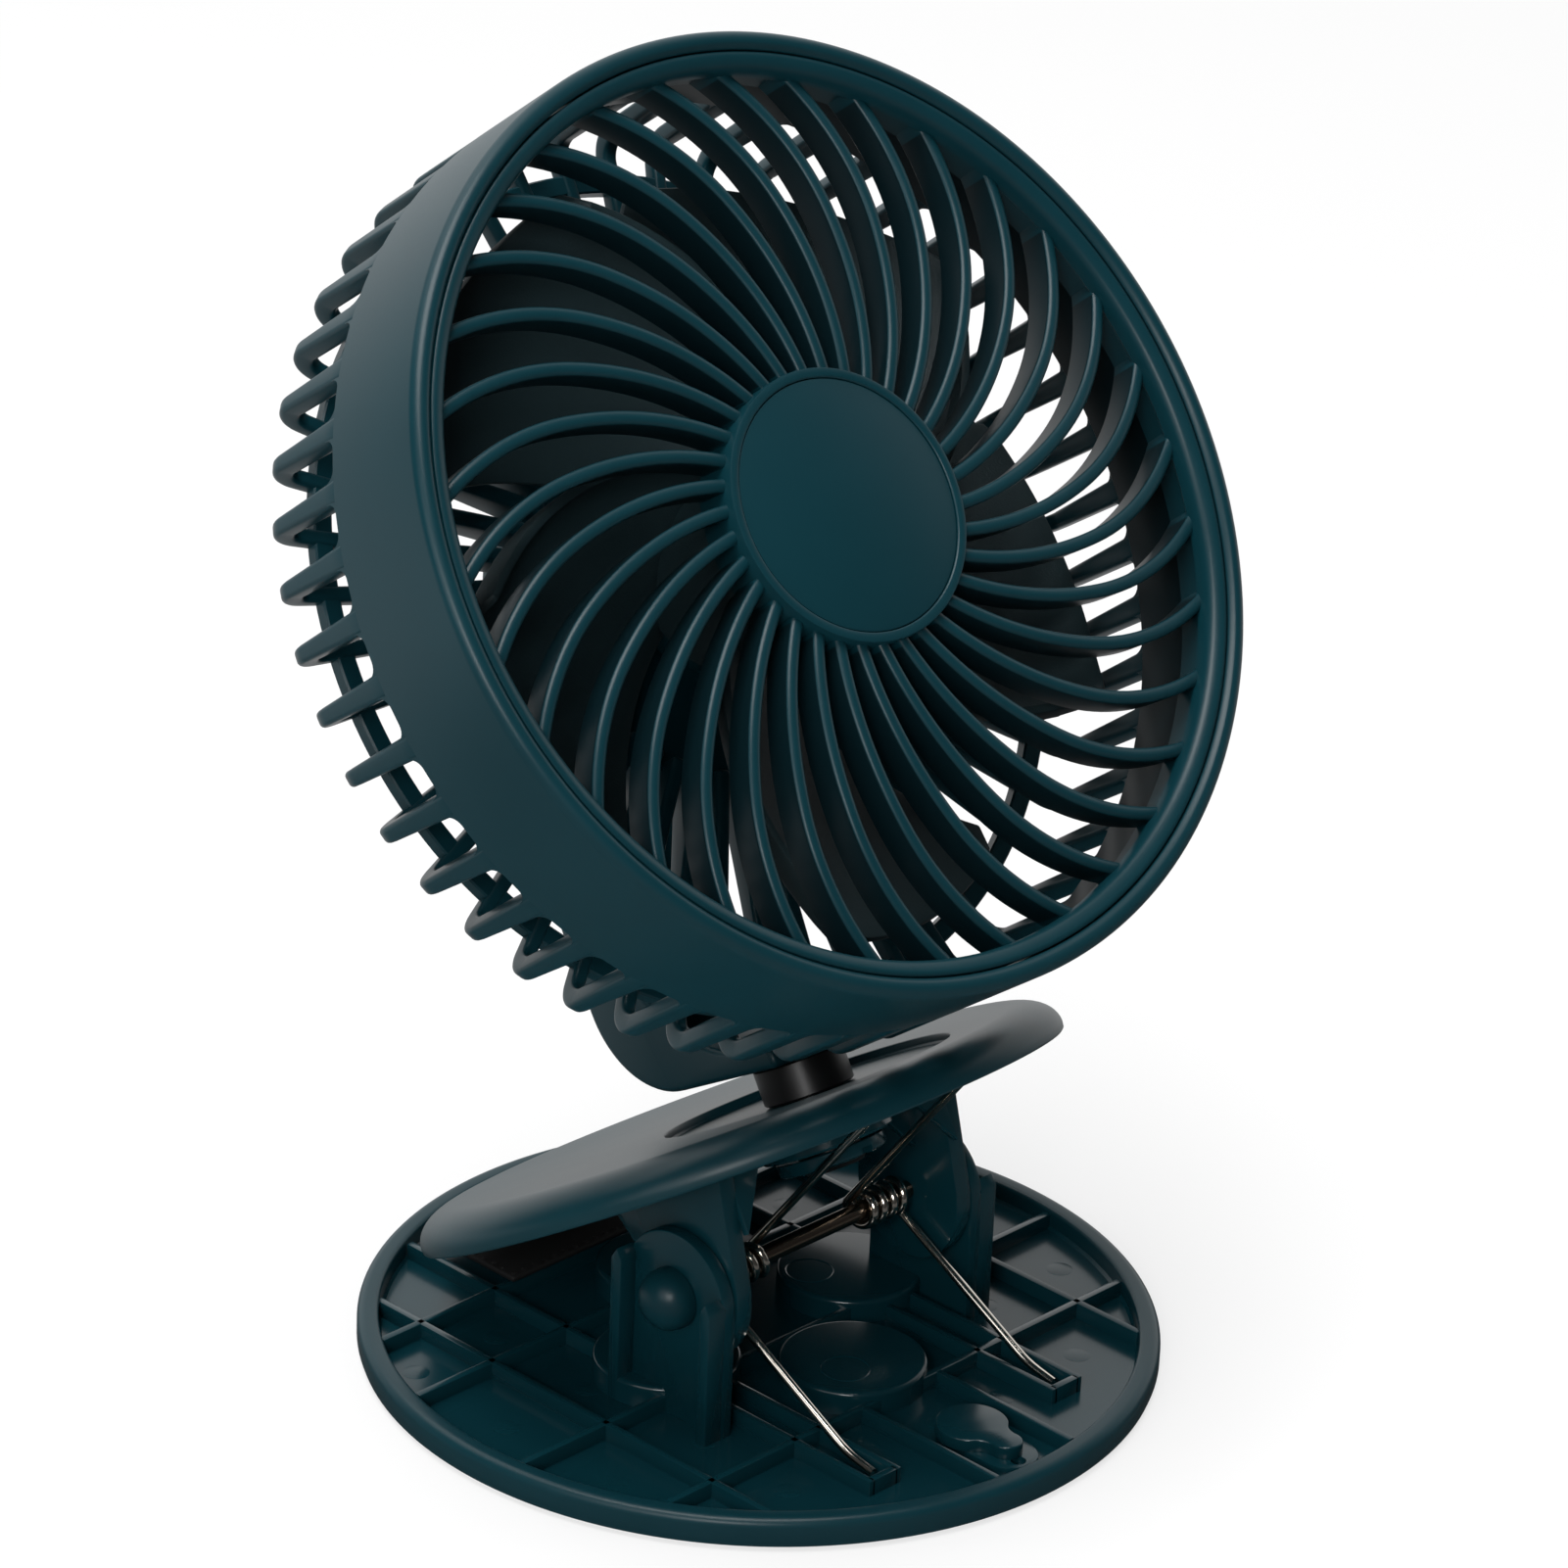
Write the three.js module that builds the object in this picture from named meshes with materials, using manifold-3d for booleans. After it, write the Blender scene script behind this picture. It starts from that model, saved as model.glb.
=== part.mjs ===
// Clip-on desk fan: a round foot dish, a sprung jaw above it, and a caged fan head on a swivelling arm.
// Millimetres, +Z up. The origin is the middle of the underside of the foot dish; the fan faces -Y.
import * as THREE from 'three';
import { mergeVertices } from 'three/addons/utils/BufferGeometryUtils.js';
import Module from 'manifold-3d';

const wasm = await Module();
wasm.setup();
const DEG = Math.PI / 180;
const FIT = 0.3; // air left between parts that touch
const EVEN_OUT = 0.04; // facets that differ by less than this are run together

// ---- foot dish ----
const DISH_R = 68;
const DISH_INNER_R = 64.3;
const DISH_FLOOR = 1.8;
const DISH_RIM_Z = 5.5;
const RIB_TOP = 4.6;
const RIB_T = 1.4;
const RIB_FOOT = 1; // where everything that stands on the floor of the dish starts
const RIBS_ALONG_Y = [
  [-44.1, -47, 47], [44.1, -47, 47], [-27, 2, 58], [27, 2, 58], [-9, -63, -33], [9, -63, -33],
];
const RIBS_ALONG_X = [[36.5, -53, 53], [19, -61, 61], [-8.2, -64, 64], [-32.7, -55, 55]];
const PAD_SEAT_R = 12.5;
const PAD_SEAT_TOP = 6;
const SEAT_EDGE = 0.8;
const FOOT_PAD_R = 10;
const FOOT_PAD_H = 3.9;
const FOOT_PADS = [[-22, 0], [22, 0], [0, -22], [0, 22]];
const CHANNEL_X = [19, 25];
const CHANNEL_END_Y = -49;
const CHANNEL_WALL = 1.4;
const KEYHOLE = { y: -48.7, r: 6.6, lobeY: -57.2, lobeR: 4.6, top: 4.2 };
const SCREW_SLOT = { r: 2.3, half: 1.3, length: 6 };
const LOWER_PAD = { half: 24, y0: 35.2, y1: 57.6, top: 6.3, edge: 0.6 };

// ---- hinge of the jaw ----
const HINGE_Y = -10;
const HINGE_Z = 24;
const SHAFT_R = 1.6;
const SHAFT_HALF = 30.8;
const FOOT_EAR = { inner: 28.3, outer: 31, r: 11.5, gusset: 34.5, gussetT: 2.4, frontTop: 28, rearTop: 30 };
const JAW_EAR = { inner: 24.5, outer: 28, r: 12.5 };
const CAP_R = 5;
const CAP_H = 3.8;

// ---- jaw plate, drawn in its own tilted frame: v towards the mouth, w out of its top ----
const JAW_TILT = 31 * DEG;
const JAW_CENTRE = [0, 5.2, 36];
const LID_R = 57;
const LID_H = 6.4;
const LID_WALL = 2;
const POST_V = -20;
const RECESS_R = 25;
const RECESS_DEPTH = 1.6;
const SOCKET_R = 11.5;
const SOCKET_BOTTOM = -4;
const BRACE_V = [-23, -13];
const BRACE_T = 1.6;
const TIP_SEAT = { half: 1.6, v0: -48.6, v1: -42.6, w0: 2.2 };
const UPPER_PAD = { half: 21, v0: 31, v1: 49.4, w0: -0.3, w1: 2.2 };
const PAD_HOLDER = { half: 21.6, v0: 30.4, v1: 50, w0: 2.5 };

// ---- springs ----
const WIRE_R = 0.78;
const COIL_R = 3.4;
const COIL_PITCH = 2.15;
const COIL_IN_X = 13.1;
const LEG_UP_ANGLE = 38 * DEG;
const LEG_DOWN_ANGLE = -63.3 * DEG;
const FULL_TURNS = 4;
const STEPS_PER_CURL = 8;
const WIRE_SIDES = 5;
const UP_LEG = 43.6;
const DOWN_TIP = [[-41, 4.2], [-47, 3.1]];

// ---- swivel post and arm, drawn in the frame of the post: z along the post, y to the rear ----
const POST_FOOT = [0, -8.7, 51.8];
const POST_R = 7.85;
const POST_TOP = 5.1;
const NECK_R = 5.5;
const NECK_END = -14.4;
const STUB_R = 4.4; // the post's stub that the arm sits on
const STUB_TOP = 8.6;
const COLLAR = { r: 9.4, edge: 0.8, z0: -13.4, z1: -10.9, slotHalf: 1.2, slotFrom: 6.6 };
const REST_SWIVEL = -2.4 * DEG;
const ARM_HALF = 12.5;
const ARM_UNDER = 5.4;
const ARM_WALL = 2.4;
const BEND = { y: 17, z: 22, r: 16.5 };
const BEND_TOP = 44; // the arm runs straight up from the bend to here
const TILT_PIN = { y: 10.04, z: 81.12, w: -67, r: 1.6, half: 10.4 };
const KNUCKLE_R = 7;
const TONGUE_HALF = 5.7;

// ---- fan head, drawn in its own frame: z is the fan axis, out of the front ----
const HEAD_TILT = 84.6 * DEG;
const HEAD_AT = [0, -56.66, 87.43];
const SHELL_R = 80;
const SHELL_IN_R = 76.7;
const SLOT_FROM = -21.5;
const CAGE_REAR = -43.8;
const BAR_DEPTH = 3;
const FINS = 48;
const FIN_IN_R = 76.8;
const FIN_OUT_R = 79.9;
const FIN_HALF = { root: 2.1, side: 1.3, back: 1.2 };
const RING_R = 70;
const RING_HALF = 1.7;
const MOUNT_R = 34;
const MOUNT_FRONT = -39.6;
const MOTOR_CUP = { inner: 13.4, outer: 15.2, front: -33 };
const BEZEL_REAR = -8;
const RIBS = 34;
const RIB_W = 2.3;
const RIB_DEPTH = 6.5;
const RIB_START = 7.3 * DEG;
const RIB_SWEEP = 0.515 * DEG; // turn per millimetre outwards
const RIB_HOOK = 0.006 * DEG; // added turn towards the rim, by the square of the distance
const RIB_HOOK_FROM = 52;
const HUB_R = 22.8;
const HUB_CAP_R = 20.8;
const BLADES = 5;
const BLADE_TIP_R = 65;
const BLADE_HUB_R = 18;
const BLADE_T = 1.8;
const BLADE_FRONT = -11.5;
const BLADE_REACH = 20; // how far the rear edge of a blade lies behind its front edge
const BLADE_EDGE_FROM = { front: -84, turnsBy: 43 };
const BLADE_EDGE_TO = { rear: -14, turnsBy: 24 };
const IMPELLER_REAR = -32;
const MOTOR_R = 12.8;
const MOTOR_REAR = -39.2;
const MOTOR_FRONT = -17.2;
const HOUSING_R = 30;
const HOUSING_IN_R = 28;
const HOUSING_FRONT = -44.1;
const HOUSING_REAR = -56;
const COVER_REAR = -59;
const BUTTON = { y: 19, r: 5, flangeR: 6.2 };
const LENS = { x: 10, y: 19, r: 1.5 };
const SCREW_R = 1.9;
const COVER_SCREWS = [[-20, 14], [20, 14], [-20, -14], [20, -14]];
const LUG = { inner: 6.1, outer: 10.4, r: 7 };

// ---- colours ----
const TEAL = 0x123c45;
const DARK_TEAL = 0x0f2f36;
const BLACK = 0x17181a;

function material(color, roughness, metalness = 0) {
  return new THREE.MeshStandardMaterial({ color, roughness, metalness });
}

// ---- solids ----
function signedVolume(position, index) {
  const [a, b, c] = [new THREE.Vector3(), new THREE.Vector3(), new THREE.Vector3()];
  let sum = 0;
  for (let i = 0; i < index.length; i += 3) {
    a.fromArray(position, index[i] * 3);
    b.fromArray(position, index[i + 1] * 3);
    c.fromArray(position, index[i + 2] * 3);
    sum += a.dot(b.cross(c));
  }
  return sum;
}

function solid(geometry) {
  const bare = geometry.clone();
  bare.deleteAttribute('normal');
  bare.deleteAttribute('uv');
  const merged = mergeVertices(bare, 1e-4);
  const position = merged.attributes.position.array;
  let index = [];
  const all = merged.index.array;
  for (let i = 0; i < all.length; i += 3) {
    const [a, b, c] = [all[i], all[i + 1], all[i + 2]];
    if (a !== b && b !== c && a !== c) index.push(a, b, c);
  }
  if (signedVolume(position, index) < 0) index = index.reverse();
  return new wasm.Manifold(new wasm.Mesh({
    numProp: 3,
    vertProperties: new Float32Array(position),
    triVerts: new Uint32Array(index),
  }));
}

function join(solids) {
  return solids.reduce((whole, next) => whole.add(next));
}

function cut(whole, tools) {
  return tools.reduce((left, tool) => left.subtract(tool), whole);
}

function toGeometry(manifold) {
  const mesh = manifold.simplify(EVEN_OUT).getMesh();
  const geometry = new THREE.BufferGeometry();
  const points = new Float32Array(mesh.numVert * 3);
  for (let i = 0; i < mesh.numVert; i += 1) {
    for (let k = 0; k < 3; k += 1) points[i * 3 + k] = mesh.vertProperties[i * mesh.numProp + k];
  }
  geometry.setAttribute('position', new THREE.BufferAttribute(points, 3));
  geometry.setIndex(new THREE.BufferAttribute(new Uint32Array(mesh.triVerts), 1));
  const flat = geometry.toNonIndexed();
  flat.computeVertexNormals();
  return flat;
}

function lathe(profile, segments, x = 0, y = 0) {
  const points = profile.map(([r, z]) => new THREE.Vector2(r, z));
  const geometry = new THREE.LatheGeometry(points, segments).rotateX(Math.PI / 2);
  return solid(geometry.translate(x, y, 0));
}

function disc(radius, z0, z1, segments = 32, x = 0, y = 0) {
  return lathe([[0, z0], [radius, z0], [radius, z1], [0, z1]], segments, x, y);
}

function tube(inner, outer, z0, z1, segments = 32) {
  return lathe([[inner, z0], [outer, z0], [outer, z1], [inner, z1], [inner, z0]], segments);
}

function block(x0, x1, y0, y1, z0, z1) {
  const geometry = new THREE.BoxGeometry(x1 - x0, y1 - y0, z1 - z0);
  return solid(geometry.translate((x0 + x1) / 2, (y0 + y1) / 2, (z0 + z1) / 2));
}

// Closes an end row, from its two edges towards its middle.
function endCap(sides, base) {
  const faces = [];
  for (let k = 0; k + 1 <= sides - 2 - k; k += 1) {
    const [a, b, c, d] = [k, k + 1, sides - 2 - k, sides - 1 - k].map((corner) => base + corner);
    faces.push(a, b, c, a, c, d);
  }
  return faces;
}

// A closed skin through rows of points that all have the same number of corners.
function skin(rows) {
  const sides = rows[0].length;
  const last = (rows.length - 1) * sides;
  const index = [...endCap(sides, 0).reverse(), ...endCap(sides, last)];
  for (let base = 0; base < last; base += sides) {
    for (let k = 0; k < sides; k += 1) {
      const [a, b] = [base + k, base + (k + 1) % sides];
      index.push(a, b, a + sides, b, b + sides, a + sides);
    }
  }
  const geometry = new THREE.BufferGeometry();
  geometry.setAttribute('position', new THREE.Float32BufferAttribute(rows.flat(2), 3));
  geometry.setIndex(index);
  return geometry;
}

// A flat outline in Y and Z, given thickness along X.
function slab(shape, x0, x1, curveSegments = 8) {
  const geometry = new THREE.ExtrudeGeometry(shape, { depth: x1 - x0, bevelEnabled: false, curveSegments });
  const turn = new THREE.Matrix4().makeBasis(
    new THREE.Vector3(0, 1, 0), new THREE.Vector3(0, 0, 1), new THREE.Vector3(1, 0, 0),
  );
  return solid(geometry.applyMatrix4(turn).translate(x0, 0, 0));
}

function outline(points) {
  return new THREE.Shape(points.map(([y, z]) => new THREE.Vector2(y, z)));
}

function barAcross(radius, x0, x1, y, z, segments = 20) {
  const geometry = new THREE.CylinderGeometry(radius, radius, x1 - x0, segments).rotateZ(Math.PI / 2);
  return solid(geometry.translate((x0 + x1) / 2, y, z));
}

function both(make) {
  return [make(-1), make(1)];
}

function sideBlock(side, near, far, y0, y1, z0, z1) {
  return block(Math.min(side * near, side * far), Math.max(side * near, side * far), y0, y1, z0, z1);
}

function sideSlab(side, shape, near, far, curveSegments) {
  return slab(shape, Math.min(side * near, side * far), Math.max(side * near, side * far), curveSegments);
}

// ---- foot dish and what stands on it ----
function earOutline(r, foot) {
  const shape = new THREE.Shape();
  shape.moveTo(HINGE_Y - r, foot);
  shape.lineTo(HINGE_Y + r, foot);
  shape.lineTo(HINGE_Y + r, HINGE_Z);
  shape.absarc(HINGE_Y, HINGE_Z, r, 0, Math.PI, false);
  shape.lineTo(HINGE_Y - r, foot);
  return shape;
}

function gussetOutline(y0, y1, top) {
  return outline([[y0, RIB_FOOT], [y1, RIB_FOOT], [y1, top - 2], [(y0 + y1) / 2, top], [y0, top - 2]]);
}

function dishBowl() {
  return lathe([
    [0, 0], [66.8, 0], [DISH_R, 1.4], [DISH_R, 4.1], [66.6, DISH_RIM_Z],
    [DISH_INNER_R, 4.9], [DISH_INNER_R, DISH_FLOOR], [0, DISH_FLOOR],
  ], 60);
}

function dishRibs() {
  const half = RIB_T / 2;
  return [
    ...RIBS_ALONG_Y.map(([x, y0, y1]) => block(x - half, x + half, y0, y1, RIB_FOOT, RIB_TOP)),
    ...RIBS_ALONG_X.map(([y, x0, x1]) => block(x0, x1, y - half, y + half, RIB_FOOT, RIB_TOP)),
  ];
}

function padSeat(x, y) {
  return lathe([
    [0, RIB_FOOT], [PAD_SEAT_R, RIB_FOOT], [PAD_SEAT_R, PAD_SEAT_TOP - SEAT_EDGE],
    [PAD_SEAT_R - SEAT_EDGE, PAD_SEAT_TOP], [0, PAD_SEAT_TOP],
  ], 24, x, y);
}

// The two walls and the end stop that the lower leg of a spring lies between.
function springChannel(side) {
  const half = CHANNEL_WALL / 2;
  const [near, far] = CHANNEL_X;
  const start = CHANNEL_END_Y - CHANNEL_WALL;
  return [
    sideBlock(side, near - half, near + half, start, -12, RIB_FOOT, RIB_TOP),
    sideBlock(side, far - half, far + half, start, -12, RIB_FOOT, RIB_TOP),
    sideBlock(side, near, far, start, CHANNEL_END_Y, RIB_FOOT, RIB_TOP),
  ];
}

function footEar(side) {
  const { inner, outer, r, gusset, gussetT, frontTop, rearTop } = FOOT_EAR;
  const [front, rear] = [HINGE_Y - r, HINGE_Y + r];
  return [
    sideSlab(side, earOutline(r, RIB_FOOT), inner, outer, 12),
    sideSlab(side, gussetOutline(front, front + gussetT, frontTop), outer - 0.5, gusset),
    sideSlab(side, gussetOutline(rear - gussetT, rear, rearTop), outer - 0.5, gusset),
  ];
}

function footDish() {
  const parts = [
    dishBowl(), ...dishRibs(), ...FOOT_PADS.map(([x, y]) => padSeat(x, y)),
    ...both(springChannel).flat(), ...both(footEar).flat(),
    disc(KEYHOLE.r, RIB_FOOT, KEYHOLE.top, 24, 0, KEYHOLE.y),
    disc(KEYHOLE.lobeR, RIB_FOOT, KEYHOLE.top, 20, 0, KEYHOLE.lobeY),
  ];
  const { r, half, length } = SCREW_SLOT;
  return cut(join(parts), [
    ...FOOT_PADS.map(([x, y]) => disc(FOOT_PAD_R + FIT, -1, FOOT_PAD_H + FIT, 24, x, y)),
    disc(r, -1, PAD_SEAT_TOP, 16, 0, KEYHOLE.lobeY),
    block(-half, half, KEYHOLE.lobeY, KEYHOLE.lobeY + length, -1, PAD_SEAT_TOP),
    barAcross(SHAFT_R + FIT, -40, 40, HINGE_Y, HINGE_Z, 16),
  ]);
}

function footPad(x, y) {
  return lathe([
    [0, 0], [FOOT_PAD_R - 0.6, 0], [FOOT_PAD_R, 0.6], [FOOT_PAD_R, FOOT_PAD_H], [0, FOOT_PAD_H],
  ], 24, x, y);
}

function lowerGripPad() {
  const { half, y0, y1, top, edge } = LOWER_PAD;
  const foot = RIB_TOP + FIT;
  const strip = outline([
    [y0, foot], [y1, foot], [y1, top - edge], [y1 - edge, top], [y0 + edge, top], [y0, top - edge],
  ]);
  return slab(strip, -half, half);
}

function hingeShaft() {
  return barAcross(SHAFT_R, -SHAFT_HALF, SHAFT_HALF, HINGE_Y, HINGE_Z, 20);
}

function pinCap(side) {
  const dome = new THREE.LatheGeometry([
    [0, 0], [CAP_R, 0], [CAP_R, CAP_H * 0.45], [CAP_R * 0.8, CAP_H * 0.8],
    [CAP_R * 0.45, CAP_H * 0.97], [0, CAP_H],
  ].map(([r, z]) => new THREE.Vector2(r, z)), 18);
  dome.rotateZ(-side * Math.PI / 2);
  return solid(dome.translate(side * (FOOT_EAR.outer + FIT), HINGE_Y, HINGE_Z));
}

// ---- springs: one unbroken wire each, leg, curls, leg ----
function springPath(side) {
  const turned = (angle) => [HINGE_Y + COIL_R * Math.cos(angle), HINGE_Z + COIL_R * Math.sin(angle)];
  const [y0, z0] = turned(LEG_UP_ANGLE);
  const path = [];
  const upward = [-Math.sin(LEG_UP_ANGLE), Math.cos(LEG_UP_ANGLE)];
  for (const t of [UP_LEG, UP_LEG - 2, 24, 2]) {
    path.push([COIL_IN_X, y0 + upward[0] * t, z0 + upward[1] * t]);
  }
  const turn = FULL_TURNS * 2 * Math.PI + LEG_UP_ANGLE - LEG_DOWN_ANGLE;
  const steps = Math.round(turn / (2 * Math.PI) * STEPS_PER_CURL);
  const run = COIL_PITCH * turn / (2 * Math.PI);
  for (let i = 0; i <= steps; i += 1) {
    const [y, z] = turned(LEG_UP_ANGLE - turn * i / steps);
    path.push([COIL_IN_X + run * i / steps, y, z]);
  }
  const [y1, z1] = turned(LEG_DOWN_ANGLE);
  const [bendY, bendZ] = DOWN_TIP[0];
  const last = COIL_IN_X + run;
  for (const f of [0.06, 0.5, 1]) path.push([last, y1 + (bendY - y1) * f, z1 + (bendZ - z1) * f]);
  path.push([last, (bendY + DOWN_TIP[1][0]) / 2, (bendZ + DOWN_TIP[1][1]) / 2]);
  path.push([last, DOWN_TIP[1][0], DOWN_TIP[1][1]]);
  return path.map(([x, y, z]) => new THREE.Vector3(side * x, y, z));
}

function wireAlong(path) {
  const across = new THREE.Vector3(1, 0, 0);
  return path.map((point, i) => {
    const ahead = path[Math.min(i + 1, path.length - 1)];
    const behind = path[Math.max(i - 1, 0)];
    const along = ahead.clone().sub(behind).normalize();
    const u = across.clone().addScaledVector(along, -across.dot(along)).normalize();
    const v = along.clone().cross(u);
    const row = [];
    for (let k = 0; k < WIRE_SIDES; k += 1) {
      const a = 2 * Math.PI * k / WIRE_SIDES;
      const [cu, cv] = [WIRE_R * Math.cos(a), WIRE_R * Math.sin(a)];
      row.push(point.clone().addScaledVector(u, cu).addScaledVector(v, cv).toArray());
    }
    return row;
  });
}

function leastGap(path) {
  const fine = new THREE.CatmullRomCurve3(path, false, 'centripetal').getSpacedPoints(1200);
  const lengthStep = fine[0].distanceTo(fine[1]);
  const apart = Math.ceil(Math.PI * COIL_R / lengthStep);
  let least = Infinity;
  for (let i = 0; i < fine.length; i += 1) {
    for (let j = i + apart; j < fine.length; j += 1) least = Math.min(least, fine[i].distanceTo(fine[j]));
  }
  return least - 2 * WIRE_R;
}

function spring(side) {
  const path = springPath(side);
  console.log(`spring ${side}: least gap to itself ${leastGap(path).toFixed(2)} mm`);
  return solid(skin(wireAlong(path)));
}

// ---- jaw ----
function toJaw([y, z]) {
  const [dy, dz] = [y - JAW_CENTRE[1], z - JAW_CENTRE[2]];
  const [c, s] = [Math.cos(JAW_TILT), Math.sin(JAW_TILT)];
  return [dy * c - dz * s, dy * s + dz * c];
}

function jawEarOutline() {
  const points = [[-15.4, 49.6], [-22.4, 27.2]];
  const [from, turn, steps] = [170 * DEG, 202 * DEG, 10];
  for (let i = 0; i <= steps; i += 1) {
    const a = from + turn * i / steps;
    points.push([HINGE_Y + JAW_EAR.r * Math.cos(a), HINGE_Z + JAW_EAR.r * Math.sin(a)]);
  }
  points.push([7.2, 31.4], [9.6, 35.6]);
  return outline(points.map(toJaw));
}

function jawLid() {
  const inside = LID_R - LID_WALL;
  return lathe([
    [0, LID_H], [50.2, LID_H], [53.4, 5.8], [56, 3.9], [LID_R, 1.3], [56.7, 0], [inside + 0.3, 0],
    [53.6, 3], [50, LID_H - LID_WALL], [0, LID_H - LID_WALL],
  ], 60);
}

// A three-cornered web from the post's socket down to the ear.
function earBrace(side, v) {
  const corners = [[15.5, 3], [15.5, 1.5], [JAW_EAR.inner + 0.5, -12], [JAW_EAR.inner + 0.5, 3]];
  const shape = outline(corners.map(([x, w]) => [side * x, w]));
  const web = new THREE.ExtrudeGeometry(shape, { depth: BRACE_T, bevelEnabled: false });
  return solid(web.rotateX(Math.PI / 2).translate(0, v, 0));
}

function jawSide(side) {
  const { half, v0, v1, w0 } = TIP_SEAT;
  return [
    sideSlab(side, jawEarOutline(), JAW_EAR.inner, JAW_EAR.outer),
    ...BRACE_V.map((v) => earBrace(side, v)),
    sideBlock(side, COIL_IN_X - half, COIL_IN_X + half, v0, v1, w0, LID_H - LID_WALL + 0.6),
  ];
}

function jawPlate() {
  const { half, v0, v1, w0 } = PAD_HOLDER;
  const under = LID_H - LID_WALL + 0.6;
  const parts = [
    jawLid(), disc(RECESS_R + LID_WALL, 2.6, under, 30, 0, POST_V),
    disc(SOCKET_R, SOCKET_BOTTOM, 3, 24, 0, POST_V),
    block(-half, half, v0, v1, w0, under), ...both(jawSide).flat(),
  ];
  const [hingeV, hingeW] = toJaw([HINGE_Y, HINGE_Z]);
  return cut(join(parts), [
    disc(RECESS_R, LID_H - RECESS_DEPTH, LID_H + 2, 36, 0, POST_V),
    disc(NECK_R + FIT, -9, 8, 24, 0, POST_V),
    barAcross(SHAFT_R + FIT, -40, 40, hingeV, hingeW, 16),
  ]);
}

function upperGripPad() {
  const { half, v0, v1, w0, w1 } = UPPER_PAD;
  return block(-half, half, v0, v1, w0, w1);
}

// ---- swivel post and arm ----
function swivelPost() {
  const seat = FIT - RECESS_DEPTH;
  return lathe([
    [0, NECK_END], [NECK_R - 0.6, NECK_END], [NECK_R, NECK_END + 0.8], [NECK_R, seat], [POST_R, seat],
    [POST_R, POST_TOP], [STUB_R, POST_TOP], [STUB_R, STUB_TOP], [0, STUB_TOP],
  ], 28);
}

function postCollar() {
  const { r, edge, z0, z1, slotHalf, slotFrom } = COLLAR;
  const bore = NECK_R + FIT;
  const ring = lathe([
    [bore, z0], [r - edge, z0], [r, z0 + edge], [r, z1], [bore, z1], [bore, z0],
  ], 20);
  return cut(ring, both((side) => {
    const [near, far] = [side * slotFrom, side * (r + 2)];
    return block(-slotHalf, slotHalf, Math.min(near, far), Math.max(near, far), z0 - 1, z0 + 1.2);
  }));
}

function armOutline() {
  const rear = BEND.y + BEND.r;
  const shape = new THREE.Shape();
  shape.moveTo(-9.5, ARM_UNDER);
  shape.lineTo(BEND.y, ARM_UNDER);
  shape.absarc(BEND.y, BEND.z, BEND.r, -Math.PI / 2, 0, false);
  shape.lineTo(rear, BEND_TOP);
  shape.bezierCurveTo(rear, 66, 27, 78, TILT_PIN.y + 4, TILT_PIN.z + 6.4);
  shape.absarc(TILT_PIN.y, TILT_PIN.z, KNUCKLE_R, 58 * DEG, 235 * DEG, false);
  shape.bezierCurveTo(13, 70, 23, 62, 23, BEND_TOP);
  shape.bezierCurveTo(23, 30, 19, 22, 12.7, 16);
  shape.bezierCurveTo(8, 11.6, 4, 10, -2, 9.8);
  shape.lineTo(-8, 9.6);
  shape.lineTo(-9.5, 8.2);
  return shape;
}

// The channel inside the arm that leaves it with walls, open to the front.
function armHollow() {
  const inner = BEND.r - ARM_WALL - 0.1;
  const shape = new THREE.Shape();
  shape.moveTo(11, BEND.z - inner);
  shape.lineTo(BEND.y, BEND.z - inner);
  shape.absarc(BEND.y, BEND.z, inner, -Math.PI / 2, 0, false);
  shape.lineTo(BEND.y + inner, BEND_TOP);
  shape.lineTo(29.6, 54);
  shape.lineTo(12, 54);
  shape.lineTo(6, 20);
  return shape;
}

function arm() {
  const body = slab(armOutline(), -ARM_HALF, ARM_HALF, 8);
  const knuckle = { y0: -4, y1: 18.4, z0: 70, z1: 95 };
  return cut(body, [
    slab(armHollow(), ARM_WALL - ARM_HALF, ARM_HALF - ARM_WALL, 6),
    disc(STUB_R + FIT, 4, STUB_TOP + FIT, 24),
    ...both((side) => sideBlock(side, TONGUE_HALF, 20, knuckle.y0, knuckle.y1, knuckle.z0, knuckle.z1)),
    barAcross(TILT_PIN.r + FIT, -20, 20, TILT_PIN.y, TILT_PIN.z, 16),
  ]);
}

function tiltPin() {
  return barAcross(TILT_PIN.r, -TILT_PIN.half, TILT_PIN.half, TILT_PIN.y, TILT_PIN.z, 16);
}

// ---- fan head ----
function frontGrille() {
  const outer = SHELL_IN_R - FIT;
  const bezel = lathe([
    [outer, 1.9], [75.8, 2.4], [73.4, -0.6], [73.4, -2], [74.6, -3.4], [74.6, BEZEL_REAR],
    [outer, BEZEL_REAR], [outer, 1.9],
  ], 2 * RIBS);
  const hub = lathe([
    [0, 0.4], [21.1, 0.4], [21.1, 2.8], [21.5, 3.2], [22.4, 3.2], [HUB_R, 2.7], [HUB_R, -5.5], [21, -5.5],
    [21, -1.8], [0, -1.8],
  ], RIBS);
  const parts = [bezel, hub];
  for (let i = 0; i < RIBS; i += 1) parts.push(spiralRib(i * 2 * Math.PI / RIBS));
  return join(parts);
}

function ribAngle(r) {
  const past = Math.max(0, r - RIB_HOOK_FROM);
  return RIB_START + RIB_SWEEP * (r - HUB_R) + RIB_HOOK * past * past;
}

function ribLean(r) {
  const past = Math.max(0, r - RIB_HOOK_FROM);
  return Math.atan(r * (RIB_SWEEP + 2 * RIB_HOOK * past));
}

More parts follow.
